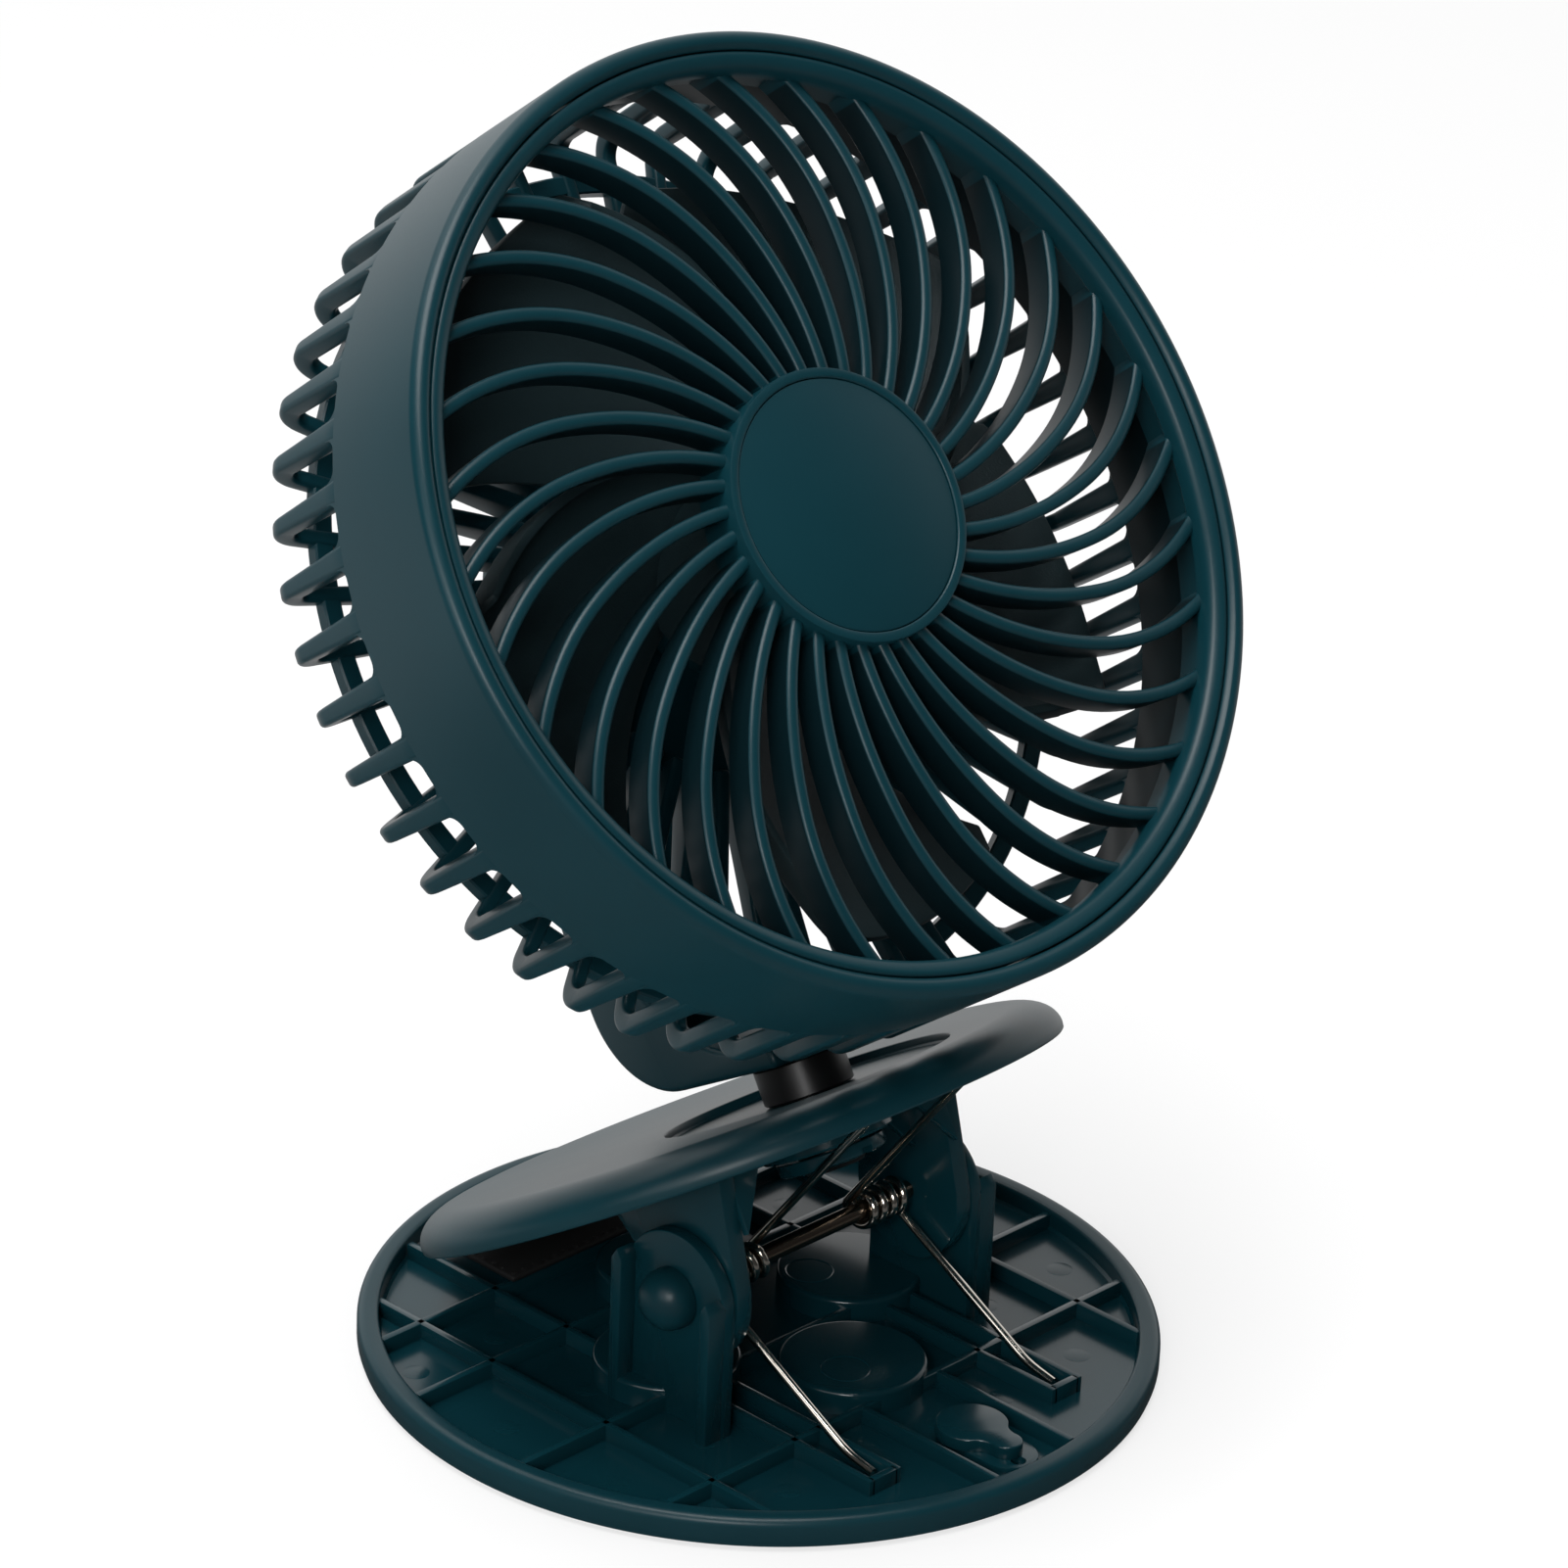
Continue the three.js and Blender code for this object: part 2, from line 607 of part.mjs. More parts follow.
// Each rib leaves the hub ring, turns as it runs outwards, and dips behind the bezel.
function spiralRib(start) {
  const [r0, r1, steps] = [HUB_R - 0.8, 75.3, 6];
  const [half, root] = [RIB_W / 2, RIB_W * 0.375];
  const section = [[-half, -0.8], [0, 0], [half, -0.8], [root, -RIB_DEPTH], [-root, -RIB_DEPTH]];
  const rows = [];
  for (let i = 0; i <= steps; i += 1) {
    const f = i / steps;
    const r = r0 + (r1 - r0) * f;
    const angle = start + ribAngle(r);
    const across = angle + Math.PI / 2 + ribLean(r);
    const front = 1.6 + 1.6 * f - 4.6 * f * f;
    rows.push(section.map(([t, w]) => [
      r * Math.cos(angle) + t * Math.cos(across), r * Math.sin(angle) + t * Math.sin(across), front + w,
    ]));
  }
  return solid(skin(rows));
}

function hubCap() {
  return lathe([[0, 0.7], [HUB_CAP_R, 0.7], [HUB_CAP_R, 2.5], [HUB_CAP_R - 0.4, 2.8], [0, 2.8]], RIBS);
}

// One bar of the cage: it runs on from the wall, narrows, turns a soft corner and goes in to the mount.
function cageFin(back) {
  const start = SLOT_FROM + 1.5;
  const inner = MOUNT_R - 2;
  const stations = [
    [FIN_OUT_R, start, FIN_IN_R, start, FIN_HALF.root],
    [FIN_OUT_R, -37.6, FIN_IN_R, -37.2, FIN_HALF.side],
    [78.7, -41.3, 75.7, -39.6, FIN_HALF.side],
    [75.6, CAGE_REAR, 74, back, FIN_HALF.back],
    [inner, CAGE_REAR, inner, back, FIN_HALF.back],
  ];
  return solid(skin(stations.map(([r0, w0, r1, w1, half]) => [
    [r0, -half, w0], [r0, half, w0], [r1, half, w1], [r1, -half, w1],
  ])));
}

function rearShell() {
  const back = CAGE_REAR + BAR_DEPTH;
  const parts = [
    lathe([
      [SHELL_IN_R, 1.9], [77.9, 2.9], [79.3, 2.3], [SHELL_R, 0.8], [SHELL_R, SLOT_FROM],
      [SHELL_IN_R, SLOT_FROM], [SHELL_IN_R, 1.9],
    ], 2 * FINS),
    tube(RING_R - RING_HALF, RING_R + RING_HALF, CAGE_REAR + 0.3, back - 0.2, FINS),
    disc(MOUNT_R, CAGE_REAR, MOUNT_FRONT, FINS),
    tube(MOTOR_CUP.inner, MOTOR_CUP.outer, MOUNT_FRONT - 1, MOTOR_CUP.front, 24),
  ];
  const fin = cageFin(back);
  for (let i = 0; i < FINS; i += 1) parts.push(fin.rotate([0, 0, 360 * i / FINS]));
  return join(parts);
}

// One blade: a cambered sheet, front edge clockwise, rear edge anticlockwise as seen from the front.
function bladeFace(start, lift) {
  const [across, outwards, inner] = [6, 4, BLADE_HUB_R - 1.5];
  const rows = [];
  for (let j = 0; j <= outwards; j += 1) {
    const f = j / outwards;
    const from = BLADE_EDGE_FROM.front + BLADE_EDGE_FROM.turnsBy * f;
    const to = BLADE_EDGE_TO.rear + BLADE_EDGE_TO.turnsBy * f;
    const row = [];
    for (let i = 0; i <= across; i += 1) {
      const g = i / across;
      const clipped = j === outwards && (i === 0 || i === across) ? 2.5 : 0;
      const r = inner + (BLADE_TIP_R - inner) * f - clipped;
      const a = start + (from + (to - from) * g) * DEG;
      const w = BLADE_FRONT - BLADE_REACH * Math.pow(g, 0.62) - (1 - f) * 1.5 * g;
      row.push([r * Math.cos(a), r * Math.sin(a), w + lift]);
    }
    rows.push(row);
  }
  return rows;
}

// The sheet's outline is walked front face then back face, row by row, which closes it round its edges.
function blade(start) {
  const front = bladeFace(start, 0);
  const back = bladeFace(start, -BLADE_T);
  return solid(skin(front.map((row, j) => [...row, ...back[j].slice().reverse()])));
}

function impeller() {
  const hub = lathe([
    [0, -8.5], [15.6, -8.5], [BLADE_HUB_R, -10.5], [BLADE_HUB_R, IMPELLER_REAR], [16, IMPELLER_REAR],
    [16, -11.5], [4, -11.5], [4, -16.4], [1.3, -16.4], [1.3, -10], [0, -10],
  ], 30);
  const parts = [hub];
  for (let i = 0; i < BLADES; i += 1) parts.push(blade(i * 2 * Math.PI / BLADES));
  return join(parts);
}

function motorCan() {
  return lathe([
    [0, MOTOR_REAR], [MOTOR_R, MOTOR_REAR], [MOTOR_R, MOTOR_FRONT - 1], [MOTOR_R - 1, MOTOR_FRONT],
    [1.4, MOTOR_FRONT], [1.4, -30], [0, -30],
  ], 24);
}

function motorShaft() {
  return disc(1, -29.7, -10.3, 16);
}

function rearHousing() {
  const cup = tube(HOUSING_IN_R, HOUSING_R, HOUSING_REAR, HOUSING_FRONT, 36);
  const socketSlot = block(-4.8, 4.8, -34, -25, -52.4, -48.6);
  return cut(cup, [socketSlot]);
}

function coverLug(side) {
  const shape = new THREE.Shape();
  shape.moveTo(-LUG.r, COVER_REAR + 1);
  shape.lineTo(-LUG.r, TILT_PIN.w);
  shape.absarc(0, TILT_PIN.w, LUG.r, Math.PI, 2 * Math.PI, false);
  shape.lineTo(LUG.r, COVER_REAR + 1);
  return sideSlab(side, shape, LUG.inner, LUG.outer, 8);
}

function rearCover() {
  const front = HOUSING_REAR - FIT;
  const plate = lathe([
    [0, front], [HOUSING_R, front], [HOUSING_R, COVER_REAR + 1.2],
    [HOUSING_R - 1.2, COVER_REAR], [0, COVER_REAR],
  ], 36);
  return cut(join([plate, ...both(coverLug)]), [
    barAcross(TILT_PIN.r + FIT, -20, 20, 0, TILT_PIN.w, 16),
    disc(BUTTON.r + FIT, COVER_REAR - 3, front + 1, 20, 0, BUTTON.y),
    disc(LENS.r + FIT, COVER_REAR - 3, front + 1, 10, LENS.x, LENS.y),
    ...COVER_SCREWS.map(([x, y]) => disc(SCREW_R + FIT, COVER_REAR - 3, front - 1.1, 10, x, y)),
  ]);
}

function coverScrew(x, y) {
  return disc(SCREW_R, COVER_REAR + 0.2, COVER_REAR + 1.3, 10, x, y);
}

function powerButton() {
  const { y, r, flangeR } = BUTTON;
  return lathe([
    [0, COVER_REAR - 1.2], [r - 0.8, COVER_REAR - 1.2], [r, COVER_REAR - 0.4], [r, HOUSING_REAR],
    [flangeR, HOUSING_REAR], [flangeR, HOUSING_REAR + 0.8], [0, HOUSING_REAR + 0.8],
  ], 20, 0, y);
}

function indicatorLens() {
  return disc(LENS.r, COVER_REAR - 0.2, HOUSING_REAR - 0.6, 10, LENS.x, LENS.y);
}

function batteryPack() {
  return block(-20, 20, -8, 14, -53.5, -46);
}

function circuitBoard() {
  return block(-14, 14, -24, -10, -54.6, -53);
}

function usbSocket() {
  const shell = block(-4.4, 4.4, -28.6, -21.6, -52.1, -48.9);
  return cut(shell, [block(-3.9, 3.9, -30, -22.4, -51.6, -49.4)]);
}

// ---- assembly ----
const group = new THREE.Group();
group.name = 'clip_fan';

function place(parent, name, manifold, look) {
  const mesh = new THREE.Mesh(toGeometry(manifold), look);
  mesh.name = name;
  parent.add(mesh);
}

place(group, 'foot_dish', footDish(), material(TEAL, 0.5));
FOOT_PADS.forEach(([x, y], i) => place(group, `foot_pad_${i + 1}`, footPad(x, y), material(BLACK, 0.85)));
place(group, 'lower_grip_pad', lowerGripPad(), material(BLACK, 0.8));
place(group, 'hinge_shaft', hingeShaft(), material(0x6a5f58, 0.3, 1));
place(group, 'pin_cap_left', pinCap(-1), material(TEAL, 0.45));
place(group, 'pin_cap_right', pinCap(1), material(TEAL, 0.45));
place(group, 'spring_left', spring(-1), material(0xc8c4bc, 0.2, 1));
place(group, 'spring_right', spring(1), material(0xc8c4bc, 0.2, 1));

const jaw = new THREE.Group();
jaw.name = 'jaw_frame';
jaw.position.set(...JAW_CENTRE);
jaw.rotation.x = -JAW_TILT;
group.add(jaw);
place(jaw, 'jaw_plate', jawPlate(), material(TEAL, 0.5));
place(jaw, 'upper_grip_pad', upperGripPad(), material(BLACK, 0.8));

const swivel = new THREE.Group();
swivel.name = 'swivel_frame';
swivel.position.set(...POST_FOOT);
swivel.rotation.set(-JAW_TILT, 0, REST_SWIVEL);
group.add(swivel);
place(swivel, 'swivel_post', swivelPost(), material(BLACK, 0.4));
place(swivel, 'post_collar', postCollar(), material(TEAL, 0.5));
place(swivel, 'arm', arm(), material(TEAL, 0.5));
place(swivel, 'tilt_pin', tiltPin(), material(0x8c8f92, 0.35, 1));

const head = new THREE.Group();
head.name = 'head_frame';
head.position.set(...HEAD_AT);
head.rotation.x = HEAD_TILT;
swivel.add(head);
place(head, 'rear_shell', rearShell(), material(TEAL, 0.5));
place(head, 'front_grille', frontGrille(), material(TEAL, 0.5));
place(head, 'hub_cap', hubCap(), material(TEAL, 0.5));
place(head, 'impeller', impeller(), material(DARK_TEAL, 0.55));
place(head, 'motor_can', motorCan(), material(0x8f9296, 0.35, 1));
place(head, 'motor_shaft', motorShaft(), material(0xb8babd, 0.25, 1));
place(head, 'rear_housing', rearHousing(), material(TEAL, 0.5));
place(head, 'rear_cover', rearCover(), material(TEAL, 0.5));
COVER_SCREWS.forEach(([x, y], i) => {
  place(head, `cover_screw_${i + 1}`, coverScrew(x, y), material(0x55585c, 0.4, 1));
});
place(head, 'power_button', powerButton(), material(BLACK, 0.45));
place(head, 'indicator_lens', indicatorLens(), material(0xdfe6e8, 0.3));
place(head, 'battery_pack', batteryPack(), material(0x9aa3ab, 0.5));
place(head, 'circuit_board', circuitBoard(), material(0x1f5a3a, 0.5));
place(head, 'usb_socket', usbSocket(), material(0xb4b8bc, 0.3, 1));

export default group;
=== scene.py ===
"""Looks of the clip-on desk fan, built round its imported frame. Shapes are drawn in millimetres, each in
the frame of the piece that carries it, and are brought to metres when the piece is finished."""
import math

import bmesh
import bpy
from mathutils import Matrix, Vector


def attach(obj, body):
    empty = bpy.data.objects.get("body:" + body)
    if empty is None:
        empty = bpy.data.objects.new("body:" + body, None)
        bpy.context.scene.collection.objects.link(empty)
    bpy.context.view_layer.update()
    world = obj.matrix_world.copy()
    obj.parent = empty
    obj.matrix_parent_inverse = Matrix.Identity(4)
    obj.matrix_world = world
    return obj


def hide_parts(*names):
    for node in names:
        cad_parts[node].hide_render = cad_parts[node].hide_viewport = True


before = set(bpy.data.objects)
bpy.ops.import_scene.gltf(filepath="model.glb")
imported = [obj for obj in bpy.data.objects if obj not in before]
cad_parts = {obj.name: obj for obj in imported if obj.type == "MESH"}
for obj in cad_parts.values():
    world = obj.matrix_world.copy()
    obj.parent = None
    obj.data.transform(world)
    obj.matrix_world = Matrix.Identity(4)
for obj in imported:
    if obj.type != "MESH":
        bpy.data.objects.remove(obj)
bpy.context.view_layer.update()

MM = 0.001
FULL = 2 * math.pi
SMOOTH_UNDER = math.radians(32)  # edges that turn less than this are shaded smooth


def turn(degrees, axis):
    return Matrix.Rotation(math.radians(degrees), 4, axis)


# ---- places: each maps its own millimetres to the base's ----
BASE = Matrix.Identity(4)
JAW = Matrix.Translation((0, 5.2, 36)) @ turn(-31, "X")
SWIVEL = Matrix.Translation((0, -8.7, 51.8)) @ turn(-31, "X") @ turn(-2.4, "Z")
HEAD = SWIVEL @ Matrix.Translation((0, -56.66, 87.43)) @ turn(84.6, "X")

# ---- foot dish ----
DISH_R = 68
DISH_FLOOR = 1.8
RIB_FOOT, RIB_TOP = 1, 4.6  # the ribs start inside the floor
RIB_HALF = 0.7
RIBS_ALONG_Y = ((-44.1, -47, 47), (44.1, -47, 47), (-27, 2, 58), (27, 2, 58), (-9, -63, -33), (9, -63, -33))
RIBS_ALONG_X = ((36.5, -53, 53), (19, -61, 61), (-8.2, -64, 64), (-32.7, -55, 55))
CHANNEL_NEAR, CHANNEL_FAR, CHANNEL_END = 19, 25, -50.4  # the spring legs lie in two channels
FOOT_PADS = ((-22, 0), (22, 0), (0, -22), (0, 22))
PAD_POCKET, POCKET_ROOF, SEAT_TOP = 10.3, 4.2, 6
KEYHOLE_Y, KEYHOLE_R, SLOT_HALF = -57.2, 2.3, 1.3
EJECTOR_MARKS = ((-35, 27.5), (-53, 28), (-35.5, 5), (-54, 5), (-33, -20), (-53, -20), (-34, -40), (0, -42),
                 (14, -43), (34, -42), (35, -20), (54, -20), (35, 6), (54, 6), (35, 28), (12, 48), (-12, 48))
# ---- hinge ----
HINGE_Y, HINGE_Z = -10, 24
SHAFT_R = 1.6
EAR_R = 11.5
CAP_X, CAP_R, CAP_RIM = 31.3, 5.3, 0.9
# ---- jaw plate, over its own underside ----
LID_TOP, RECESS_FLOOR, LID_UNDER = 6.4, 4.8, 4.4
POST_V = -20
BOSS_R = 11.5  # round the post, under the lid
# ---- grip pads ----
TOOTH_PITCH = 2.4
TOOTH_ROOT_R, TOOTH_TIP_R = 0.95, 0.25
# ---- springs ----
WIRE_R, COIL_R, COIL_PITCH, COIL_IN_X = 0.78, 2.6, 2.4, 12.3
LEG_UP, LEG_DOWN = math.radians(36.95), math.radians(-61.5)
LEFT_SHIFT = 1.4  # how much nearer the middle the left spring sits
# ---- arm ----
ARM_HALF = 12.5
KNUCKLE = (10.04, 81.12)
# ---- head: radii, and heights along the fan's axis, 0 just behind the bezel's front ----
WALL_R, WALL_IN, WALL_END = 80, 76.7, -21.5
FINS = 48
MOUNT_BACK = -43.8
RIBS = 34
RIB_START, RIB_LENGTH = 22, 53.3
SWEEP = 0.515  # how many degrees round a rib goes for each millimetre out
BEND_FROM, BEND = 52, 0.012  # past this radius, how much more for each millimetre
HUB_R = 22.8
BLADES = 5
BLADE_IN, BLADE_OUT = 17, 65


# ---- shapes ----
def cleaned(bm, round_by=0.0, segments=2, over=35):
    """Doubles merged, faces turned outwards, and edges sharper than `over` degrees rounded."""
    bmesh.ops.remove_doubles(bm, verts=bm.verts, dist=1e-3)
    bmesh.ops.recalc_face_normals(bm, faces=bm.faces)
    if round_by:
        sharp = [e for e in bm.edges if len(e.link_faces) == 2 and e.calc_face_angle() > math.radians(over)]
        bmesh.ops.bevel(bm, geom=sharp, offset=round_by, segments=segments, profile=0.5, affect="EDGES",
                        material=-1, clamp_overlap=True)
    return bm


def turned(profile, steps=128, x=0, y=0, round_by=0.0):
    """A profile of (radius, height) spun about the upright axis through x, y."""
    bm = bmesh.new()
    spots = [bm.verts.new((r, 0, z)) for r, z in profile]
    pairs = list(zip(spots, spots[1:]))
    if profile[0][0] > 0 or profile[-1][0] > 0:
        pairs.append((spots[-1], spots[0]))
    edges = [bm.edges.new(pair) for pair in pairs]
    bmesh.ops.spin(bm, geom=spots + edges, cent=(0, 0, 0), axis=(0, 0, 1), angle=FULL, steps=steps,
                   use_merge=True)
    bmesh.ops.translate(bm, vec=(x, y, 0), verts=bm.verts)
    return cleaned(bm, round_by)


def ringed(rings, steps=128):
    """A closed skin through level circles of (x, y, radius, height), the last joined to the first."""
    bm = bmesh.new()
    x0, y0, r, z = rings[0]
    bmesh.ops.create_circle(bm, segments=steps, radius=r, matrix=Matrix.Translation((x0, y0, z)))
    loop = bm.edges[:]
    for x, y, r, z in rings[1:] + rings[:1]:
        pulled = bmesh.ops.extrude_edge_only(bm, edges=loop)["geom"]
        loop = [g for g in pulled if isinstance(g, bmesh.types.BMEdge) and g.is_boundary]
        for vert in {v for edge in loop for v in edge.verts}:
            a = math.atan2(vert.co.y - y0, vert.co.x - x0)
            vert.co = (x + r * math.cos(a), y + r * math.sin(a), z)
        x0, y0 = x, y
    return cleaned(bm)


def extruded(corners, along, round_by=0.0, segments=2, over=35):
    """A flat outline of three-dimensional corners, given depth by one pull."""
    bm = bmesh.new()
    face = bm.faces.new([bm.verts.new(c) for c in corners])
    pulled = bmesh.ops.extrude_face_region(bm, geom=[face])
    moved = [g for g in pulled["geom"] if isinstance(g, bmesh.types.BMVert)]
    bmesh.ops.translate(bm, vec=along, verts=moved)
    return cleaned(bm, round_by, segments, over)


def slab(outline, x0, x1, **rounding):
    """An outline in Y and Z, thick from x0 to x1."""
    return extruded([(x0, y, z) for y, z in outline], (x1 - x0, 0, 0), **rounding)


def block(x0, x1, y0, y1, z0, z1, round_by=0.2, segments=2):
    return extruded([(x0, y0, z0), (x1, y0, z0), (x1, y1, z0), (x0, y1, z0)], (0, 0, z1 - z0),
                    round_by=round_by, segments=segments)


def swept(sections):
    """A closed skin through sections that all have the same number of corners."""
    bm = bmesh.new()
    face = bm.faces.new([bm.verts.new(p) for p in sections[0]])
    for i, section in enumerate(sections[1:]):
        pulled = bmesh.ops.extrude_face_region(bm, geom=[face])
        if i and face.is_valid:  # only the first section stays, as the end cap
            bmesh.ops.delete(bm, geom=[face], context="FACES_ONLY")
        face = next(g for g in pulled["geom"] if isinstance(g, bmesh.types.BMFace))
        for vert, spot in zip(face.verts, section):
            vert.co = spot
    return cleaned(bm)


def around(bm, count):
    """The shape and its copies, evenly round the upright axis."""
    everything = bm.verts[:] + bm.edges[:] + bm.faces[:]
    bmesh.ops.spin(bm, geom=everything, cent=(0, 0, 0), axis=(0, 0, 1), angle=FULL * (count - 1) / count,
                   steps=count - 1, use_duplicate=True)
    return bm


def placed(bm, matrix):
    bmesh.ops.transform(bm, matrix=matrix, verts=bm.verts)
    if matrix.determinant() < 0:
        bmesh.ops.reverse_faces(bm, faces=bm.faces)
    return bm


def sides(make):
    """What `make` builds, on the left and on the right."""
    return [shape for side in (-1, 1) for shape in make(side)]


def span(side, near, far):
    """From near to far on that side of the middle, the smaller first."""
    return min(side * near, side * far), max(side * near, side * far)


def arc(cy, cz, ry, rz, start, end, steps):
    """Points on an ellipse about cy, cz, from the start angle to the end angle."""
    spread = [math.radians(start + (end - start) * i / steps) for i in range(steps + 1)]
    return [(cy + ry * math.cos(a), cz + rz * math.sin(a)) for a in spread]


def bezier(a, b, c, d, steps):
    """Points on the curve from a to d that b and c pull at, without a itself."""
    spread = [i / steps for i in range(1, steps + 1)]
    return [tuple((1 - t) ** 3 * p + 3 * t * (1 - t) ** 2 * q + 3 * t * t * (1 - t) * r + t ** 3 * s
                  for p, q, r, s in zip(a, b, c, d)) for t in spread]


def scrap(bm, name):
    mesh = bpy.data.meshes.new(name)
    bm.to_mesh(mesh)
    bm.free()
    made = bpy.data.objects.new(name, mesh)
    bpy.context.scene.collection.objects.link(made)
    return made


def carved(bm, cutters):
    """The shape with every cutter taken out of it, and without the slivers that cutting leaves."""
    body = scrap(bm, "uncut")
    tools = [scrap(cutter, "cutter") for cutter in cutters]
    for tool in tools:
        cut = body.modifiers.new("cut", "BOOLEAN")
        cut.object, cut.operation, cut.solver = tool, "DIFFERENCE", "EXACT"
    ready = body.evaluated_get(bpy.context.evaluated_depsgraph_get())
    result = bmesh.new()
    result.from_mesh(ready.to_mesh())
    ready.to_mesh_clear()
    bmesh.ops.remove_doubles(result, verts=result.verts, dist=5e-3)
    bmesh.ops.dissolve_degenerate(result, edges=result.edges, dist=1e-3)
    for made in [body, *tools]:
        mesh = made.data
        bpy.data.objects.remove(made)
        bpy.data.meshes.remove(mesh)
    return result


def bar_across(radius, x0, x1, y, z, steps=48, round_by=0.0):
    rod = turned([(0, 0), (radius, 0), (radius, x1 - x0), (0, x1 - x0)], steps, round_by=round_by)
    return placed(rod, Matrix.Translation((x0, y, z)) @ turn(90, "Y"))


def wire(path, radius):
    """A round wire along a path, closed at both ends."""
    curve = bpy.data.curves.new("wire", "CURVE")
    curve.dimensions = "3D"
    curve.bevel_depth, curve.bevel_resolution, curve.use_fill_caps = radius, 4, True
    line = curve.splines.new("POLY")
    line.points.add(len(path) - 1)
    for point, spot in zip(line.points, path):
        point.co = (*spot, 1)
    carrier = bpy.data.objects.new("wire", curve)
    bpy.context.scene.collection.objects.link(carrier)
    ready = carrier.evaluated_get(bpy.context.evaluated_depsgraph_get())
    bm = bmesh.new()
    bm.from_mesh(ready.to_mesh())
    ready.to_mesh_clear()
    bpy.data.objects.remove(carrier)
    bpy.data.curves.remove(curve)
    return cleaned(bm)


# ---- finishes ----
def linear(r, g, b):
    """A colour given as seen on a screen, 0 to 255, as the shader takes it."""
    spread = [c / 255 for c in (r, g, b)]
    return tuple(c / 12.92 if c <= 0.04045 else ((c + 0.055) / 1.055) ** 2.4 for c in spread)


class Signal:
    """A shader socket that can be added to, multiplied and fed on."""

    def __init__(self, tree, socket):
        self.tree, self.socket = tree, socket

    def node(self, kind, settings=None, out=0, **values):
        made = self.tree.nodes.new(kind)
        for key, value in (settings or {}).items():
            setattr(made, key, value)
        for key, value in values.items():
            socket = made.inputs[int(key[1:])] if key[0] == "i" and key[1:].isdigit() else made.inputs[key]
            if isinstance(value, Signal):
                self.tree.links.new(value.socket, socket)
            else:
                socket.default_value = value
        return Signal(self.tree, made.outputs[out])

    def maths(self, operation, other):
        return self.node("ShaderNodeMath", {"operation": operation}, i0=self, i1=other)

    def larger(self, other):
        return self.maths("MAXIMUM", other)

    def __add__(self, other):
        return self.maths("ADD", other)

    def __mul__(self, other):
        return self.maths("MULTIPLY", other)

    def blend(self, a, b):
        """Colour a where this is 0, colour b where it is 1."""
        return self.node("ShaderNodeMix", {"data_type": "RGBA"}, out=2, i0=self, i6=a, i7=b)


def finish(name, colour, roughness, tone=0.12, grain=0.0, grain_size=0.35, streaks=(1, 1, 1), metallic=0.0,
           rough_spread=0.05, specular=0.5):
    """A moulded or drawn material: slow changes of tone, and a fine grain that the light picks up."""
    material = bpy.data.materials.new(name)
    material.use_nodes = True
    tree = material.node_tree
    shader = tree.nodes["Principled BSDF"]
    start = Signal(tree, None)
    place = start.node("ShaderNodeTexCoord", out=3)
    place = start.node("ShaderNodeMapping", Vector=place, Scale=streaks)
    slow = start.node("ShaderNodeTexNoise", Vector=place, Scale=38.0, Detail=3.0)
    fine = start.node("ShaderNodeTexNoise", Vector=place, Scale=1.0 / (grain_size * MM), Detail=2.0)
    deep = (*[c * (1 - tone) for c in linear(*colour)], 1)
    light = (*[c * (1 + tone) for c in linear(*colour)], 1)
    tree.links.new(slow.blend(deep, light).socket, shader.inputs["Base Color"])
    rough = slow * rough_spread + (fine * rough_spread + (roughness - rough_spread))
    tree.links.new(rough.socket, shader.inputs["Roughness"])
    if grain:
        bump = start.node("ShaderNodeBump", Height=fine, Strength=1.0, Distance=grain * MM)
        tree.links.new(bump.socket, shader.inputs["Normal"])
    shader.inputs["Metallic"].default_value = metallic
    shader.inputs["Specular IOR Level"].default_value = specular
    return material


TEAL = (9, 47, 55)
SATIN = finish("satin_teal", TEAL, 0.34, grain=0.006, specular=0.25)
GLOSS = finish("glossy_teal", TEAL, 0.2, specular=0.4)
# Painted shade: a darker teal for the drum's inner wall and the sides of the grille's ribs, where little
# light reaches. The plastic itself is the same teal all over.
PAINTED_SHADE_TEAL = finish("teal_painted_shade", (7, 26, 31), 0.3, specular=0.25)
# The blades' teal is greyer and lighter than the body's. This is partly their own colour and partly painted
# light, making up for the light the deep drum keeps off them.
BLADE = finish("blade_teal_painted_light", (26, 48, 53), 0.6, tone=0.2, grain=0.05, grain_size=0.45)
BLACK = finish("black_moulding", (13, 13, 14), 0.32, grain=0.004)
RUBBER = finish("grip_rubber", (19, 20, 21), 0.72, grain=0.02, grain_size=0.5)
FOOT_RUBBER = finish("foot_rubber", (24, 24, 25), 0.8, grain=0.02, grain_size=0.6)
NICKEL = finish("bright_nickel", (214, 208, 198), 0.14, tone=0.06, metallic=1.0, rough_spread=0.04)
SHAFT = finish("drawn_steel", (128, 116, 104), 0.24, tone=0.1, metallic=1.0, streaks=(0.05, 1, 1),
               grain=0.004)
STEEL = finish("plated_steel", (150, 152, 156), 0.33, metallic=1.0, grain=0.003)
LENS = finish("milky_lens", (205, 214, 216), 0.28, tone=0.03)
WRAP = finish("battery_sleeve", (120, 134, 148), 0.4)
BOARD = finish("board_lacquer", (24, 84, 58), 0.38)


# ---- finishing a piece ----
def joined(shapes):
    whole = bmesh.new()
    for shape in shapes:
        mesh = bpy.data.meshes.new("part")
        shape.to_mesh(mesh)
        shape.free()
        whole.from_mesh(mesh)
        bpy.data.meshes.remove(mesh)
    return whole


